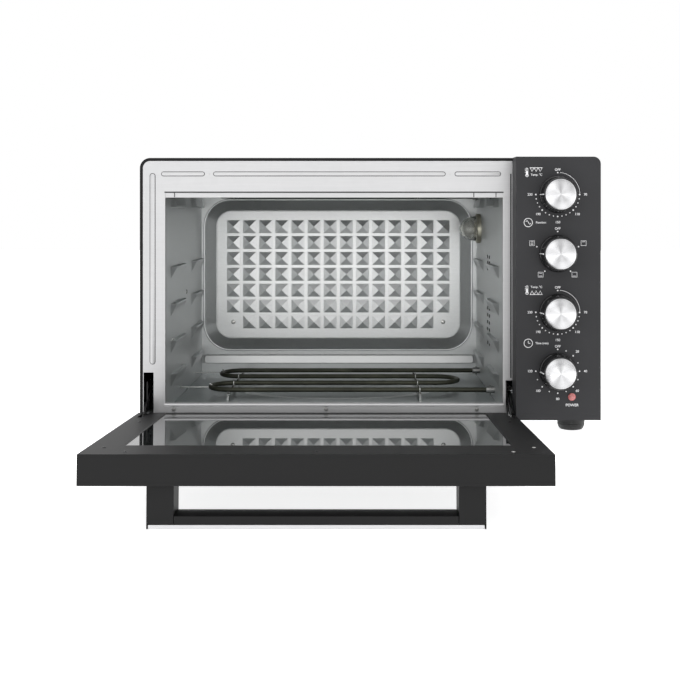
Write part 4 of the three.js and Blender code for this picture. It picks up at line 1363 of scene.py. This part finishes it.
# ---------------------------------------------------------------------------- heaters
@dataclass
class Heater(Assembly):
    """One tube heater with its ferrules, clips and hooks."""

    level: str
    first_run: float = 98.0 * MM
    pitch: float = 65.0 * MM
    radius: float = 3.25 * MM
    side_gap: float = 38.0 * MM
    beyond: float = 14.0 * MM
    bend_steps: int = 14
    clip_radius: float = 4.1 * MM
    clip_steps: int = 20
    wire: float = 0.9 * MM
    hook_shift: float = 8.0 * MM
    hook_curl: float = 4.6 * MM
    hook_steps: int = 9

    def run(self, order: int) -> float:
        """The Y of one run."""
        return low_of("front_frame").y + self.first_run + order * self.pitch

    def path(self) -> list[Point]:
        """The tube's middle line, from one terminal to the other.

        Returns:
            The points.
        """
        node = f"{self.level}_heating_element"
        z = middle_of(node).z
        half = self.pitch / 2
        end = high_of(node).x
        left = low_of("cavity_left_wall").x + SHEET + self.side_gap + self.radius + half
        right = end - self.beyond - self.side_gap - self.radius - half
        points = [(end, self.run(0), z)]
        for order, (x, sweep) in enumerate(((left, -1.0), (right, 1.0), (left, -1.0))):
            centre = self.run(order) + half
            for step in range(self.bend_steps + 1):
                turn = math.pi * step / self.bend_steps
                points.append((x + sweep * half * math.sin(turn),
                               centre - half * math.cos(turn), z))
        points.append((end, self.run(3), z))
        return points

    def build_ends(self) -> None:
        """Turns the dark steel ferrules and ceramic beads at the right wall."""
        node = f"{self.level}_heating_element"
        z = middle_of(node).z
        wall = high_of(node).x - self.beyond
        ferrule = [(3.5, 11.0), (4.2, 10.4), (4.6, 9.4), (4.6, 6.2), (6.4, 6.0), (6.4, 4.8),
                   (4.6, 4.6), (4.6, -6.0)]
        bead = [(3.4, -12.6), (4.2, -12.0), (4.4, -10.0), (4.4, -6.2)]
        for order, run in enumerate((0, 3), 1):
            place = (wall, self.run(run), z)
            for part, profile, finish in (("ferrule", ferrule, DARK_STEEL),
                                          ("bead", bead, CREAM_RESIN)):
                name = f"{self.level}_{part}_{order}"
                self.fit(turned(name, in_metres(profile), place, Axis.LEFT, 28), finish)

    def build_clips(self) -> None:
        """Bends a wire clip round each run where a support wire crosses it."""
        node = f"{self.level}_heating_element"
        z = middle_of(node).z
        pattern: bpy.types.Object | None = None
        first = (0.0, 0.0, 0.0)
        for side, runs in (("left", (1, 2)), ("right", (0, 1, 2))):
            x = middle_of(f"{self.level}_support_wire_{side}").x
            for run in runs:
                place = (x, self.run(run), z)
                name = f"{self.level}_clip_{side}_{run + 1}"
                if pattern is None:
                    turns = [math.tau * k / self.clip_steps for k in range(self.clip_steps)]
                    points = [(x, place[1] + self.clip_radius * math.cos(turn),
                               z + self.clip_radius * math.sin(turn)) for turn in turns]
                    pattern, first = rod(name, points, self.wire, 8, True), place
                    self.fit(pattern, PLATED)
                else:
                    shift = [a - b for a, b in zip(place, first)]
                    self.fit(copied(pattern, name, shift), PLATED)

    def build_hooks(self) -> None:
        """Bends the two wire hooks that hold the left turns to the wall."""
        z = middle_of(f"{self.level}_heating_element").z
        wall = low_of("cavity_left_wall").x + SHEET / 2
        eye = wall + self.side_gap + 1.5 * MM
        for order, (run, way) in enumerate(((0, -1.0), (2, 1.0)), 1):
            y = self.run(run) + self.pitch / 2 + way * self.hook_shift
            points = [(wall, y, z), (eye, y, z)]
            for step in range(1, self.hook_steps):
                turn = math.pi * step / self.hook_steps
                points.append((eye + self.hook_curl * math.sin(turn), y,
                               z + self.hook_curl * (1 - math.cos(turn)) / 2))
            self.fit(rod(f"{self.level}_hook_{order}", points, self.wire, 8), PLATED)

    def build(self) -> None:
        """Makes and dresses the heater."""
        node = f"{self.level}_heating_element"
        tube = rod(f"{self.level}_tube", self.path(), self.radius, 16)
        self.fit(tube, OLIVE_SHEATH, Body.OVEN, (node,))
        self.dress({PLATED: [f"{self.level}_support_wire_{side}" for side in ("left", "right")]})
        self.build_ends()
        self.build_clips()
        self.build_hooks()


@dataclass
class OvenLight(Assembly):
    """The lamp in the right wall: a flange, a glass dome and a bulb.

    The dome's wall is an arc of its own inside and outside, each with a radius and a rise, and
    both spring from one station. The numbers are in millimetres.
    """

    seat_depth: float = 3.0 * MM
    spring: float = 10.0
    outer_arc: tuple[float, float] = (18.2, 20.6)
    inner_arc: tuple[float, float] = (16.6, 19.1)
    arc_steps: int = 9

    def arc(self, radius: float, rise: float) -> list[tuple[float, float]]:
        """The dome's profile from its spring to near its top.

        Args:
            radius: The arc's radius.
            rise: How high it rises.

        Returns:
            The radius and station of each ring.
        """
        turns = [math.pi / 2 * step / self.arc_steps for step in range(1, self.arc_steps)]
        return [(radius * math.cos(turn), self.spring + rise * math.sin(turn))
                for turn in turns]

    def build(self) -> None:
        """Makes and dresses the lamp."""
        place = middle_of("lamp_glass")
        place.x = high_of("lamp_glass").x + self.seat_depth
        flange = [(14.0, -20.0), (14.0, -0.3), (22.0, -0.3), (22.0, 4.0), (21.4, 5.4), (20.4, 6.2),
                  (19.2, 6.6), (19.2, 3.0), (17.8, 2.6)]
        dome = [(16.8, 3.2), (17.0, 6.0), (18.5, 7.0), (18.6, 9.4), (18.0, 10.2),
                *self.arc(*self.outer_arc), (0.4, 30.9), (0.4, 29.3),
                *reversed(self.arc(*self.inner_arc)), (16.4, 9.4), (15.6, 7.0), (15.4, 3.2)]
        cap = [(8.6, 3.4), (9.0, 4.0), (9.0, 7.4), (8.2, 8.0), (7.8, 8.0)]
        bulb = [(6.4, 8.2), (8.6, 10.6), (11.0, 14.0), (11.2, 17.6), (9.4, 21.2), (5.6, 24.2),
                (0.4, 25.6)]
        reflector = [(8.0, 3.2), (16.6, 3.2), (16.6, 4.2), (14.0, 4.6), (9.4, 4.6)]
        for name, profile, sides, hollow, finish, nodes in (
                ("lamp_flange", flange, 56, False, LAMP_RING, ("lamp_holder",)),
                ("lamp_dome", dome, 56, True, LAMP_GLASS, ("lamp_glass",)),
                ("lamp_bulb_cap", cap, 32, False, CREAM_RESIN, ()),
                ("lamp_bulb", bulb, 40, False, BULB_GLASS, ()),
                ("lamp_reflector", reflector, 40, False, LAMP_RING, ())):
            piece = turned(name, in_metres(profile), place, Axis.LEFT, sides, hollow)
            self.fit(piece, finish, Body.OVEN, nodes)


# --------------------------------------------------------------------------- controls
class Scale(Enum):
    """What is printed round a dial: its marks in degrees, and its numbers."""

    TEMPERATURE = "temperature"
    FUNCTION = "function"
    TIME = "time"


@dataclass
class Dial(Assembly):
    """One rotary control with its knob and its printed scale."""

    node: str
    body: Body
    scale: Scale
    mark_radius: float = 27.0 * MM
    label_radius: float = 34.2 * MM
    dot: float = 0.62 * MM
    ink: float = 0.06 * MM
    letter: float = 4.1 * MM
    top_label_inset: float = 3.6 * MM
    knob_recess: float = 0.6 * MM
    pointer_half: float = 0.55 * MM
    pointer_radii: tuple[float, float] = (19.0 * MM, 23.3 * MM)
    pointer_stations: tuple[float, float] = (6.0 * MM, 22.4 * MM)
    skirt_taper: float = 1.9 / 16.4

    def centre(self) -> Vector:
        """The middle of the dial on the panel's face."""
        cap = middle_of(f"{self.node}_knob_cap")
        return Vector((cap.x, low_of("control_panel").y, cap.z))

    def around(self, degrees: float, radius: float) -> Vector:
        """A point round the dial, in degrees clockwise from the top."""
        turn = math.radians(degrees)
        return self.centre() + Vector((radius * math.sin(turn), 0.0, radius * math.cos(turn)))

    def marks(self) -> list[tuple[float, float]]:
        """The angle and size of each dot of the scale.

        Returns:
            Degrees clockwise from the top, and a size as a share of the plain dot's.
        """
        if self.scale is Scale.FUNCTION:
            return [(72.0 * step, 1.45) for step in range(5)]
        if self.scale is Scale.TIME:
            return [(22.5 * step, 1.5 if step % 2 == 0 else 1.15) for step in range(13)]
        return [(0.0, 1.5)] + [
            (90 + 11.25 * step, 1.6 if step % 4 == 0 else 1.15) for step in range(17)]

    def labels(self) -> list[tuple[float, str]]:
        """The angle and number of each label.

        Returns:
            Degrees clockwise from the top, and what is printed there.
        """
        if self.scale is Scale.FUNCTION:
            return [(0.0, "OFF")]
        if self.scale is Scale.TIME:
            return [(0.0, "OFF")] + [(45.0 * step, str(20 * step)) for step in range(1, 7)]
        return [(0.0, "OFF")] + [(90 + 45.0 * step, str(70 + 40 * step)) for step in range(5)]

    def build_marks(self) -> None:
        """Prints the dots, the arc and the numbers."""
        pattern = turned("dot_pattern", [
            (self.dot, 0.0), (self.dot * 0.96, self.ink), (self.dot * 0.5, self.ink * 1.1)],
            (0.0, 0.0, 0.0), Axis.FORWARD, 14)
        dots = []
        for order, (degrees, size) in enumerate(self.marks()):
            dot = copied(pattern, f"dot_{order}", (0.0, 0.0, 0.0))
            dot.data.transform(Matrix.Diagonal((size, 1.0, size, 1.0)))
            dot.data.transform(Matrix.Translation(self.around(degrees, self.mark_radius)))
            dots.append(dot)
        bpy.data.objects.remove(pattern)
        self.fit(joined(dots, f"{self.node}_dots"), WHITE_INK)
        if self.scale is Scale.TEMPERATURE:
            arc = [tuple(self.around(6 + 3 * step, self.mark_radius + 0.4 * MM))
                   for step in range(28)]
            self.fit(printed_line(f"{self.node}_arc", arc, 0.45 * MM), WHITE_INK)
        letters = []
        for degrees, text in self.labels():
            radius = self.label_radius - (self.top_label_inset if degrees == 0 else 0.0)
            letters.append(printed_text(text, self.around(degrees, radius), self.letter))
        self.fit(joined(letters, f"{self.node}_numbers"), WHITE_INK)

    def build_knob(self) -> None:
        """Turns the gloss skirt and the spun cap."""
        place = middle_of(f"{self.node}_knob_cap")
        place.y = self.centre().y - self.knob_recess
        skirt = [(3.0, -40.0), (3.0, -1.0), (21.5, 0.0), (22.6, 0.2), (23.0, 0.8), (23.0, 4.6),
                 (22.7, 5.4), (22.0, 6.0), (21.9, 7.0), (20.9, 20.8), (20.5, 22.2), (19.9, 22.9),
                 (19.3, 23.0), (18.9, 22.6), (18.9, 21.7)]
        body = turned(f"{self.node}_skirt", in_metres(skirt), place, Axis.FORWARD, 72)
        self.fit(body, GLOSS_BLACK, self.body, (f"{self.node}_knob",))
        disc = [(18.4, 21.9), (18.6, 22.2), (18.6, 23.4), (18.1, 24.0), (17.4, 24.2),
                (17.1, 23.95), (16.8, 24.1), (9.0, 24.2), (0.5, 24.25)]
        finish = Spun(f"spun_cap_{self.node}", Slot.SPUN_ALUMINIUM, (0.62, 0.62, 0.63),
                      (place.x, 0.0, place.z))
        cap = turned(f"{self.node}_cap", in_metres(disc), place, Axis.FORWARD, 96)
        self.fit(cap, finish, self.body, (f"{self.node}_knob_cap",))

    def build_pointer(self) -> None:
        """Sets the printed pointer into the knob's tapered side."""
        place = middle_of(f"{self.node}_knob_cap")
        face = self.centre().y - self.knob_recess
        near, far = self.pointer_radii
        foot, tip = self.pointer_stations
        pointer = block(f"{self.node}_pointer",
                        (place.x - far, face - tip, place.z - self.pointer_half),
                        (place.x - near, face - foot, place.z + self.pointer_half), 0.25 * MM, 2)
        pick_faces(pointer, lambda middle, normal: normal.x < -0.9)
        bpy.ops.mesh.inset(thickness=0.1 * MM)
        lay_down_tools()
        for point in pointer.data.vertices:
            if point.co.x < place.x - 21 * MM:
                point.co.x += self.skirt_taper * (face - foot - point.co.y)
        self.fit(close(pointer), WHITE_INK, self.body)

    def build(self) -> None:
        """Makes and dresses the dial."""
        self.build_knob()
        self.build_pointer()
        self.build_marks()


def printed_line(
    name: str, points: Sequence[Sequence[float]], width: float, closed: bool = False
) -> bpy.types.Object:
    """A printed line on the panel's face.

    Args:
        name: The piece's name.
        points: The points of its middle.
        width: Its width.
        closed: Whether its ends meet.

    Returns:
        The piece.
    """
    piece = rod(name, [tuple(point) for point in points], width / 2, 8, closed)
    face = low_of("control_panel").y
    for point in piece.data.vertices:
        point.co.y = face + (point.co.y - face) * 0.2
    return close(piece)


def printed_text(text: str, middle: Sequence[float], height: float) -> bpy.types.Object:
    """A printed word or number on the panel's face.

    Args:
        text: What it says.
        middle: Its middle.
        height: The height of its capitals.

    Returns:
        The piece.
    """
    lay_down_tools()
    bpy.ops.object.text_add(location=(0.0, 0.0, 0.0))
    letters = bpy.context.active_object
    letters.data.body = text
    letters.data.align_x = "CENTER"
    letters.data.align_y = "CENTER"
    letters.data.size = height
    letters.data.extrude = 0.04 * MM
    letters.data.offset = 0.05 * MM
    bpy.ops.object.convert(target="MESH")
    piece = bpy.context.active_object
    piece.rotation_euler = Axis.FORWARD.value
    piece.location = middle
    return settle(piece, f"text_{len(bpy.data.objects)}")


@dataclass
class ControlColumn(Assembly):
    """The raised panel with its four dials, its signs and its signal lamp."""

    sign_x: float = 196.5 * MM
    stroke: float = 0.7 * MM
    fine_stroke: float = 0.5 * MM
    ring: float = 5.2 * MM
    ring_steps: int = 40
    word: float = 3.6 * MM
    power_word: tuple[float, float, float] = (252.0 * MM, 18.6 * MM, 4.6 * MM)

    def on_face(self, x: float, z: float) -> Point:
        """A point on the panel's face."""
        return x, low_of("control_panel").y, z

    def thermometer(self, name: str, z: float) -> None:
        """Prints a thermometer.

        Args:
            name: The piece's name.
            z: The height of its middle.
        """
        x = self.sign_x
        stem = [self.on_face(x + dx * MM, z + dz * MM) for dx, dz in (
            (-1.0, -2.4), (-1.0, 4.6), (0.0, 5.4), (1.0, 4.6), (1.0, -2.4), (1.7, -3.6),
            (1.4, -4.9), (0.0, -5.6), (-1.4, -4.9), (-1.7, -3.6))]
        outline = printed_line("stem", stem, self.stroke, True)
        filling = printed_line(
            "filling", [self.on_face(x, z + 1.5 * MM), self.on_face(x, z - 4.0 * MM)], 1.5 * MM)
        ticks = [printed_line(f"tick_{k}", [
            self.on_face(x - 2.6 * MM, z + k * 2.0 * MM),
            self.on_face(x - 1.6 * MM, z + k * 2.0 * MM)], self.fine_stroke) for k in range(3)]
        self.fit(joined([outline, filling, *ticks], name), WHITE_INK)

    def coil(self, name: str, z: float, flip: float) -> None:
        """Prints a heater sign: a row of triangles hanging from or standing on a line.

        Args:
            name: The piece's name.
            z: The height of its middle.
            flip: 1 where the triangles hang, -1 where they stand.
        """
        x = self.sign_x + 11.2 * MM
        top = z + flip * 2.6 * MM
        lines = [printed_line("rail", [
            self.on_face(x - 7.8 * MM, top), self.on_face(x + 7.8 * MM, top)], self.stroke)]
        for order in range(3):
            left = x + (order * 5.0 - 7.4) * MM
            lines.append(printed_line(f"tooth_{order}", [
                self.on_face(left, top), self.on_face(left + 2.4 * MM, top - flip * 4.6 * MM),
                self.on_face(left + 4.8 * MM, top)], self.stroke))
        self.fit(joined(lines, name), WHITE_INK)

    def round_sign(self, name: str, z: float, strokes: Sequence[Profile]) -> None:
        """Prints a ring with lines in it.

        Args:
            name: The piece's name.
            z: The height of its middle.
            strokes: The points of each line inside, from the middle, in millimetres.
        """
        x = self.sign_x + 1.5 * MM
        turns = [math.tau * k / self.ring_steps for k in range(self.ring_steps)]
        ring = [self.on_face(x + self.ring * math.cos(turn), z + self.ring * math.sin(turn))
                for turn in turns]
        lines = [printed_line("ring", ring, self.stroke, True)]
        for order, points in enumerate(strokes):
            lines.append(printed_line(f"stroke_{order}", [
                self.on_face(x + dx * MM, z + dz * MM) for dx, dz in points], self.stroke))
        self.fit(joined(lines, name), WHITE_INK)

    def square_sign(self, name: str, middle: tuple[float, float], bars: Sequence[float]) -> None:
        """Prints a small oven: a square with a line at each height where heat comes from.

        Args:
            name: The piece's name.
            middle: The X and Z of its middle.
            bars: The height of each line, in millimetres from the middle.
        """
        x, z = middle
        corners = [self.on_face(x + dx * MM, z + dz * MM)
                   for dx, dz in ((-3.1, -3.0), (3.1, -3.0), (3.1, 3.0), (-3.1, 3.0))]
        lines = [printed_line("square", corners, 0.55 * MM, True)]
        for order, height in enumerate(bars):
            lines.append(printed_line(f"bar_{order}", [
                self.on_face(x - 1.9 * MM, z + height * MM),
                self.on_face(x + 1.9 * MM, z + height * MM)], self.fine_stroke))
        self.fit(joined(lines, name), WHITE_INK)

    def build_signs(self) -> None:
        """Prints the signs and words beside the dials."""
        self.thermometer("upper_thermometer_sign", 305.6 * MM)
        self.coil("upper_heater_sign", 308.6 * MM, 1.0)
        self.thermometer("lower_thermometer_sign", 160.6 * MM)
        self.coil("lower_heater_sign", 157.6 * MM, -1.0)
        self.round_sign("function_sign", 243.7 * MM, [
            [(-3.0, 1.0), (-1.4, 2.6), (0.6, -0.6), (2.0, -2.4), (3.2, -0.6)]])
        self.round_sign("timer_sign", 94.9 * MM, [[(0.0, 3.2), (0.0, 0.0), (2.6, 0.0)]])
        self.square_sign("function_1_sign", (266.2 * MM, 218.3 * MM), [1.7])
        self.square_sign("function_2_sign", (255.0 * MM, 179.5 * MM), [-1.7])
        self.square_sign("function_3_sign", (213.3 * MM, 179.5 * MM), [1.7, -1.7])
        self.square_sign("function_4_sign", (202.7 * MM, 218.3 * MM), [1.7, 0.0, -1.7])
        x = self.sign_x
        words = [("Temp. °C", x + 11.6 * MM, 302.6), ("Function", x + 17.2 * MM, 243.7),
                 ("Temp. °C", x + 11.6 * MM, 164.2), ("Time (min)", x + 18.4 * MM, 94.9)]
        printed = [printed_text(text, self.on_face(across, up * MM), self.word)
                   for text, across, up in words]
        across, up, height = self.power_word
        printed.append(printed_text("POWER", self.on_face(across, up), height))
        self.fit(joined(printed, "panel_words"), WHITE_INK)

    def build_lamp(self) -> None:
        """Turns the signal lamp's lens with its moulded rim."""
        place = middle_of("indicator_lens")
        place.y = low_of("control_panel").y
        lens = [(4.2, -3.0), (4.2, 0.4), (4.6, 0.5), (4.7, 0.9), (4.2, 1.5), (3.2, 2.0),
                (1.8, 2.25), (0.3, 2.3)]
        dome = turned("signal_lens_dome", in_metres(lens), place, Axis.FORWARD, 40)
        self.fit(dome, LENS_RED, Body.OVEN, ("indicator_lens",))

    def build(self) -> None:
        """Makes and dresses the control column."""
        self.refine("control_panel", CHARCOAL, Body.OVEN, 0.9 * MM, 3)
        self.dress({
            GALVANISED: ["control_bracket"],
            CREAM_RESIN: ["upper_thermostat", "function_switch", "lower_thermostat",
                          "timer_unit"],
        })
        dials = [
            Dial("upper_temperature", Body.UPPER_TEMPERATURE, Scale.TEMPERATURE),
            Dial("function", Body.FUNCTION, Scale.FUNCTION),
            Dial("lower_temperature", Body.LOWER_TEMPERATURE, Scale.TEMPERATURE),
            Dial("timer", Body.TIMER, Scale.TIME),
        ]
        for dial in dials:
            dial.build()
        self.build_signs()
        self.build_lamp()


# ------------------------------------------------------------------------------- door
@dataclass
class Door(Assembly):
    """The dropped door: its frame, its two panes and its handle."""

    open_degrees: float = 87.5
    skin: float = 6.5 * MM
    screw_line: float = 310.0 * MM
    screw_xs: tuple[float, ...] = (-242.3 * MM, -52.2 * MM, 142.7 * MM)
    side_screw_xs: tuple[float, ...] = (-269.0 * MM, 167.0 * MM)
    side_screw_lines: tuple[float, ...] = (283.0 * MM, 90.0 * MM)
    # The door screws at these places are finished bright, the rest gloss black.
    bright_screws: tuple[int, ...] = (3, 5)
    rim_xs: tuple[float, float] = (-285.0 * MM, 180.5 * MM)
    rim_top: float = 325.9 * MM
    seam_width: float = 0.7 * MM
    seam_depths: tuple[float, ...] = (3.6 * MM, -21.4 * MM)
    pane: tuple[float, float, float, float] = (
        -251.4 * MM, 147.9 * MM, 9.3 * MM, 268.7 * MM)
    seal_depth: float = 5.75 * MM

    def hinge(self) -> Vector:
        """The door's hinge line, at the middle of the oven."""
        for joint in frame["joints"]:
            if joint["name"] == "door_hinge":
                return Vector(joint["pos_m"])
        raise LookupError("door_hinge")

    def lean(self, piece: bpy.types.Object) -> bpy.types.Object:
        """Drops a piece that was made on the shut door, hinge line at the origin.

        Args:
            piece: The piece.

        Returns:
            The piece, where the open door has it.
        """
        piece.data.transform(Matrix.Rotation(math.radians(self.open_degrees), 4, "X"))
        piece.data.transform(Matrix.Translation(self.hinge()))
        return piece

    def build_screws(self) -> None:
        """Drives the screws that hold the inner skin."""
        pattern = CrossScrew(2.1 * MM, 0.6 * MM, 0.5 * MM).build(
            "door_screw_pattern", (0.0, self.skin - 0.1 * MM, 0.0), Axis.BACKWARD)
        places = [(x, self.screw_line) for x in self.screw_xs]
        places += [(x, line) for line in self.side_screw_lines for x in self.side_screw_xs]
        for order, (x, up) in enumerate(places, 1):
            head = copied(pattern, f"door_screw_{order}", (x, 0.0, up))
            self.fit(self.lean(head), PLATED if order in self.bright_screws else GLOSS_STEEL,
                     Body.DOOR)
        bpy.data.objects.remove(pattern)

    def build_seams(self) -> None:
        """Lays the thin shadow lines where the two skins meet round the door's rim."""
        left, right = self.rim_xs
        half = self.seam_width / 2
        for order, depth in enumerate(self.seam_depths, 1):
            strip = block(f"door_rim_seam_{order}",
                          (left, depth - half, self.rim_top - 0.2 * MM),
                          (right, depth + half, self.rim_top + 0.12 * MM), 0.12 * MM, 1)
            self.fit(self.lean(strip), BLACK_COAT, Body.DOOR)

    def build_gasket(self) -> None:
        """Lays the black bead of sealant round the inner pane."""
        x0, x1, z0, z1 = self.pane
        corners = [(x0, z0), (x1, z0), (x1, z1), (x0, z1)]
        bead = rod("inner_pane_seal", [(x, self.seal_depth, z) for x, z in corners],
                   0.75 * MM, 8, True)
        self.fit(self.lean(bead), RUBBER, Body.DOOR)

    def build(self) -> None:
        """Makes and dresses the door."""
        for node, finish, width, segments in (
                ("door_frame", DOOR_CHARCOAL, 0.8 * MM, 3),
                ("handle_post_left", DOOR_CHARCOAL, 0.7 * MM, 3),
                ("handle_post_right", DOOR_CHARCOAL, 0.7 * MM, 3),
                ("handle_bar", DOOR_CHARCOAL, 0.5 * MM, 3),
                ("handle_trim", TRIM_ALUMINIUM, 0.5 * MM, 3),
                ("door_inner_glass", MIRROR_GLASS, 0.35 * MM, 2),
                ("door_outer_glass", DOOR_GLASS, 0.35 * MM, 2)):
            self.refine(node, finish, Body.DOOR, width, segments)
        self.build_screws()
        self.build_seams()
        self.build_gasket()


@dataclass
class Hinge(Assembly):
    """One of the door's linked hinges, with its spring."""

    side: str
    link: Body
    turns: int = 34
    turn_steps: int = 12
    wire: float = 0.75 * MM
    hook: float = 8.0 * MM

    def build_spring(self) -> None:
        """Winds the spring that pulls the link's tail."""
        node = f"{self.side}_hinge_spring"
        low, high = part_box(node)
        middle = (low + high) / 2
        radius = (high.x - low.x) / 2 - self.wire
        start = low.y + self.hook
        length = high.y - low.y - 2 * self.hook
        points = [(middle.x, low.y, middle.z), (middle.x + radius, start, middle.z)]
        steps = self.turns * self.turn_steps
        for step in range(steps + 1):
            turn = math.tau * step / self.turn_steps
            points.append((middle.x + radius * math.cos(turn), start + length * step / steps,
                           middle.z + radius * math.sin(turn)))
        points.append((middle.x, high.y, middle.z))
        self.fit(rod(f"{self.side}_spring_coil", points, self.wire, 8), DARK_STEEL, Body.OVEN,
                 (node,))

    def build(self) -> None:
        """Makes and dresses the hinge."""
        self.dress({DARK_STEEL: [f"{self.side}_hinge_pin"]})
        self.refine(f"{self.side}_hinge_bracket", GLOSS_STEEL, Body.OVEN, 0.2 * MM, 2)
        self.refine(f"{self.side}_hinge_leaf", GLOSS_STEEL, Body.DOOR, 0.2 * MM, 2)
        self.refine(f"{self.side}_hinge_link", GLOSS_STEEL, self.link, 0.25 * MM, 2)
        self.build_spring()


# ----------------------------------------------------------------------------- studio
@dataclass
class Studio:
    """The pale floor, the soft light and the camera."""

    floor_size: float = 16.0
    floor_drop: float = 0.5 * MM
    floor_glow: float = 0.75
    step_reach: float = 3.0
    step_front: float = -186.0 * MM
    world_light: float = 1.0
    lens: float = 62.5
    sensor: float = 36.0
    shift: tuple[float, float] = (-0.0301, -0.188)
    camera_place: Point = (-0.0088, -1.673, 0.2565)

    def floor_material(self) -> bpy.types.Material:
        """A plain pale floor.

        Returns:
            The material.
        """
        bench = NodeBench("studio_floor")
        tone = bench.noise(2.0, 2.0)
        bench.feed("Base Color", bench.ramp(tone, [
            (0.3, (0.955, 0.955, 0.955)), (0.7, (0.97, 0.97, 0.97))]))
        bench.set(Roughness=0.9, Emission_Color=(1.0, 1.0, 1.0, 1.0),
                  Emission_Strength=self.floor_glow)
        return bench.material

    def build_floor(self) -> None:
        """Lays the floor in front of the oven and the low step that the oven stands on."""
        low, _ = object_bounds()
        foot = low_of("front_left_foot").z
        material = self.floor_material()
        bottom = low.z - self.floor_drop
        lay_down_tools()
        bpy.ops.mesh.primitive_plane_add(size=self.floor_size, location=(0.0, 0.0, bottom))
        floor = settle(bpy.context.active_object, "studio_floor")
        reach = self.step_reach
        step = block("studio_step", (-reach, self.step_front, bottom - 20 * MM),
                     (reach, reach, foot - 0.05 * MM), 4 * MM, 4)
        for piece in (floor, step):
            piece.data.materials.append(material)
            piece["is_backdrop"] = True

    def light(self, name: str, place: Point, target: Point, size: tuple[float, float],
              power: float) -> None:
        """Hangs one soft box.

        Args:
            name: The light's name.
            place: Where it hangs.
            target: What it points at.
            size: Its width and height.
            power: Its power in watts.
        """
        data = bpy.data.lights.new(name, "AREA")
        data.shape = "RECTANGLE"
        data.size, data.size_y = size
        data.energy = power
        lamp = bpy.data.objects.new(name, data)
        bpy.context.scene.collection.objects.link(lamp)
        lamp.location = place
        lamp.rotation_euler = (Vector(target) - Vector(place)).to_track_quat("-Z", "Y").to_euler()

    def build_lights(self) -> None:
        """Lights the studio softly from the front, above and both sides."""
        for name, place, aim, size, power in (
                ("front_box", (-0.2, -2.6, 1.1), 0.12, (2.4, 1.4), 9.0),
                ("top_box", (0.0, -0.5, 2.0), 0.2, (2.4, 1.6), 10.0),
                ("left_box", (-1.9, -0.8, 0.9), 0.15, (1.0, 1.4), 3.0),
                ("right_box", (1.9, -0.8, 0.9), 0.15, (1.0, 1.4), 3.0)):
            self.light(name, place, (0.0, 0.0, aim), size, power)
        world = bpy.data.worlds.new("studio_world")
        world.use_nodes = True
        background = world.node_tree.nodes["Background"]
        background.inputs["Color"].default_value = (1.0, 1.0, 1.0, 1.0)
        background.inputs["Strength"].default_value = self.world_light
        bpy.context.scene.world = world

    def build_camera(self) -> None:
        """Sets the camera in front of the oven."""
        data = bpy.data.cameras.new("camera")
        data.lens = self.lens
        data.sensor_width = self.sensor
        data.shift_x, data.shift_y = self.shift
        camera = bpy.data.objects.new("camera", data)
        camera.location = self.camera_place
        camera.rotation_euler = (math.radians(90), 0.0, 0.0)
        bpy.context.scene.collection.objects.link(camera)
        bpy.context.scene.camera = camera

    def build(self) -> None:
        """Sets up the studio."""
        bpy.context.scene.view_settings.view_transform = "Standard"
        self.build_camera()
        self.build_lights()
        self.build_floor()


def main() -> None:
    """Builds the toaster oven in order."""
    logging.basicConfig(level=logging.INFO, format="%(name)s %(message)s")
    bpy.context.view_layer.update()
    assemblies: list[Assembly] = [
        Casing(), Cavity(), Heater("lower"), Heater("upper"), OvenLight(), ControlColumn(),
        Door(), Hinge("left", Body.LEFT_LINK), Hinge("right", Body.RIGHT_LINK)]
    for assembly in assemblies:
        LOG.info("building %s", type(assembly).__name__)
        assembly.build()
    Studio().build()
    lay_down_tools()


if __name__ == "__main__":
    main()
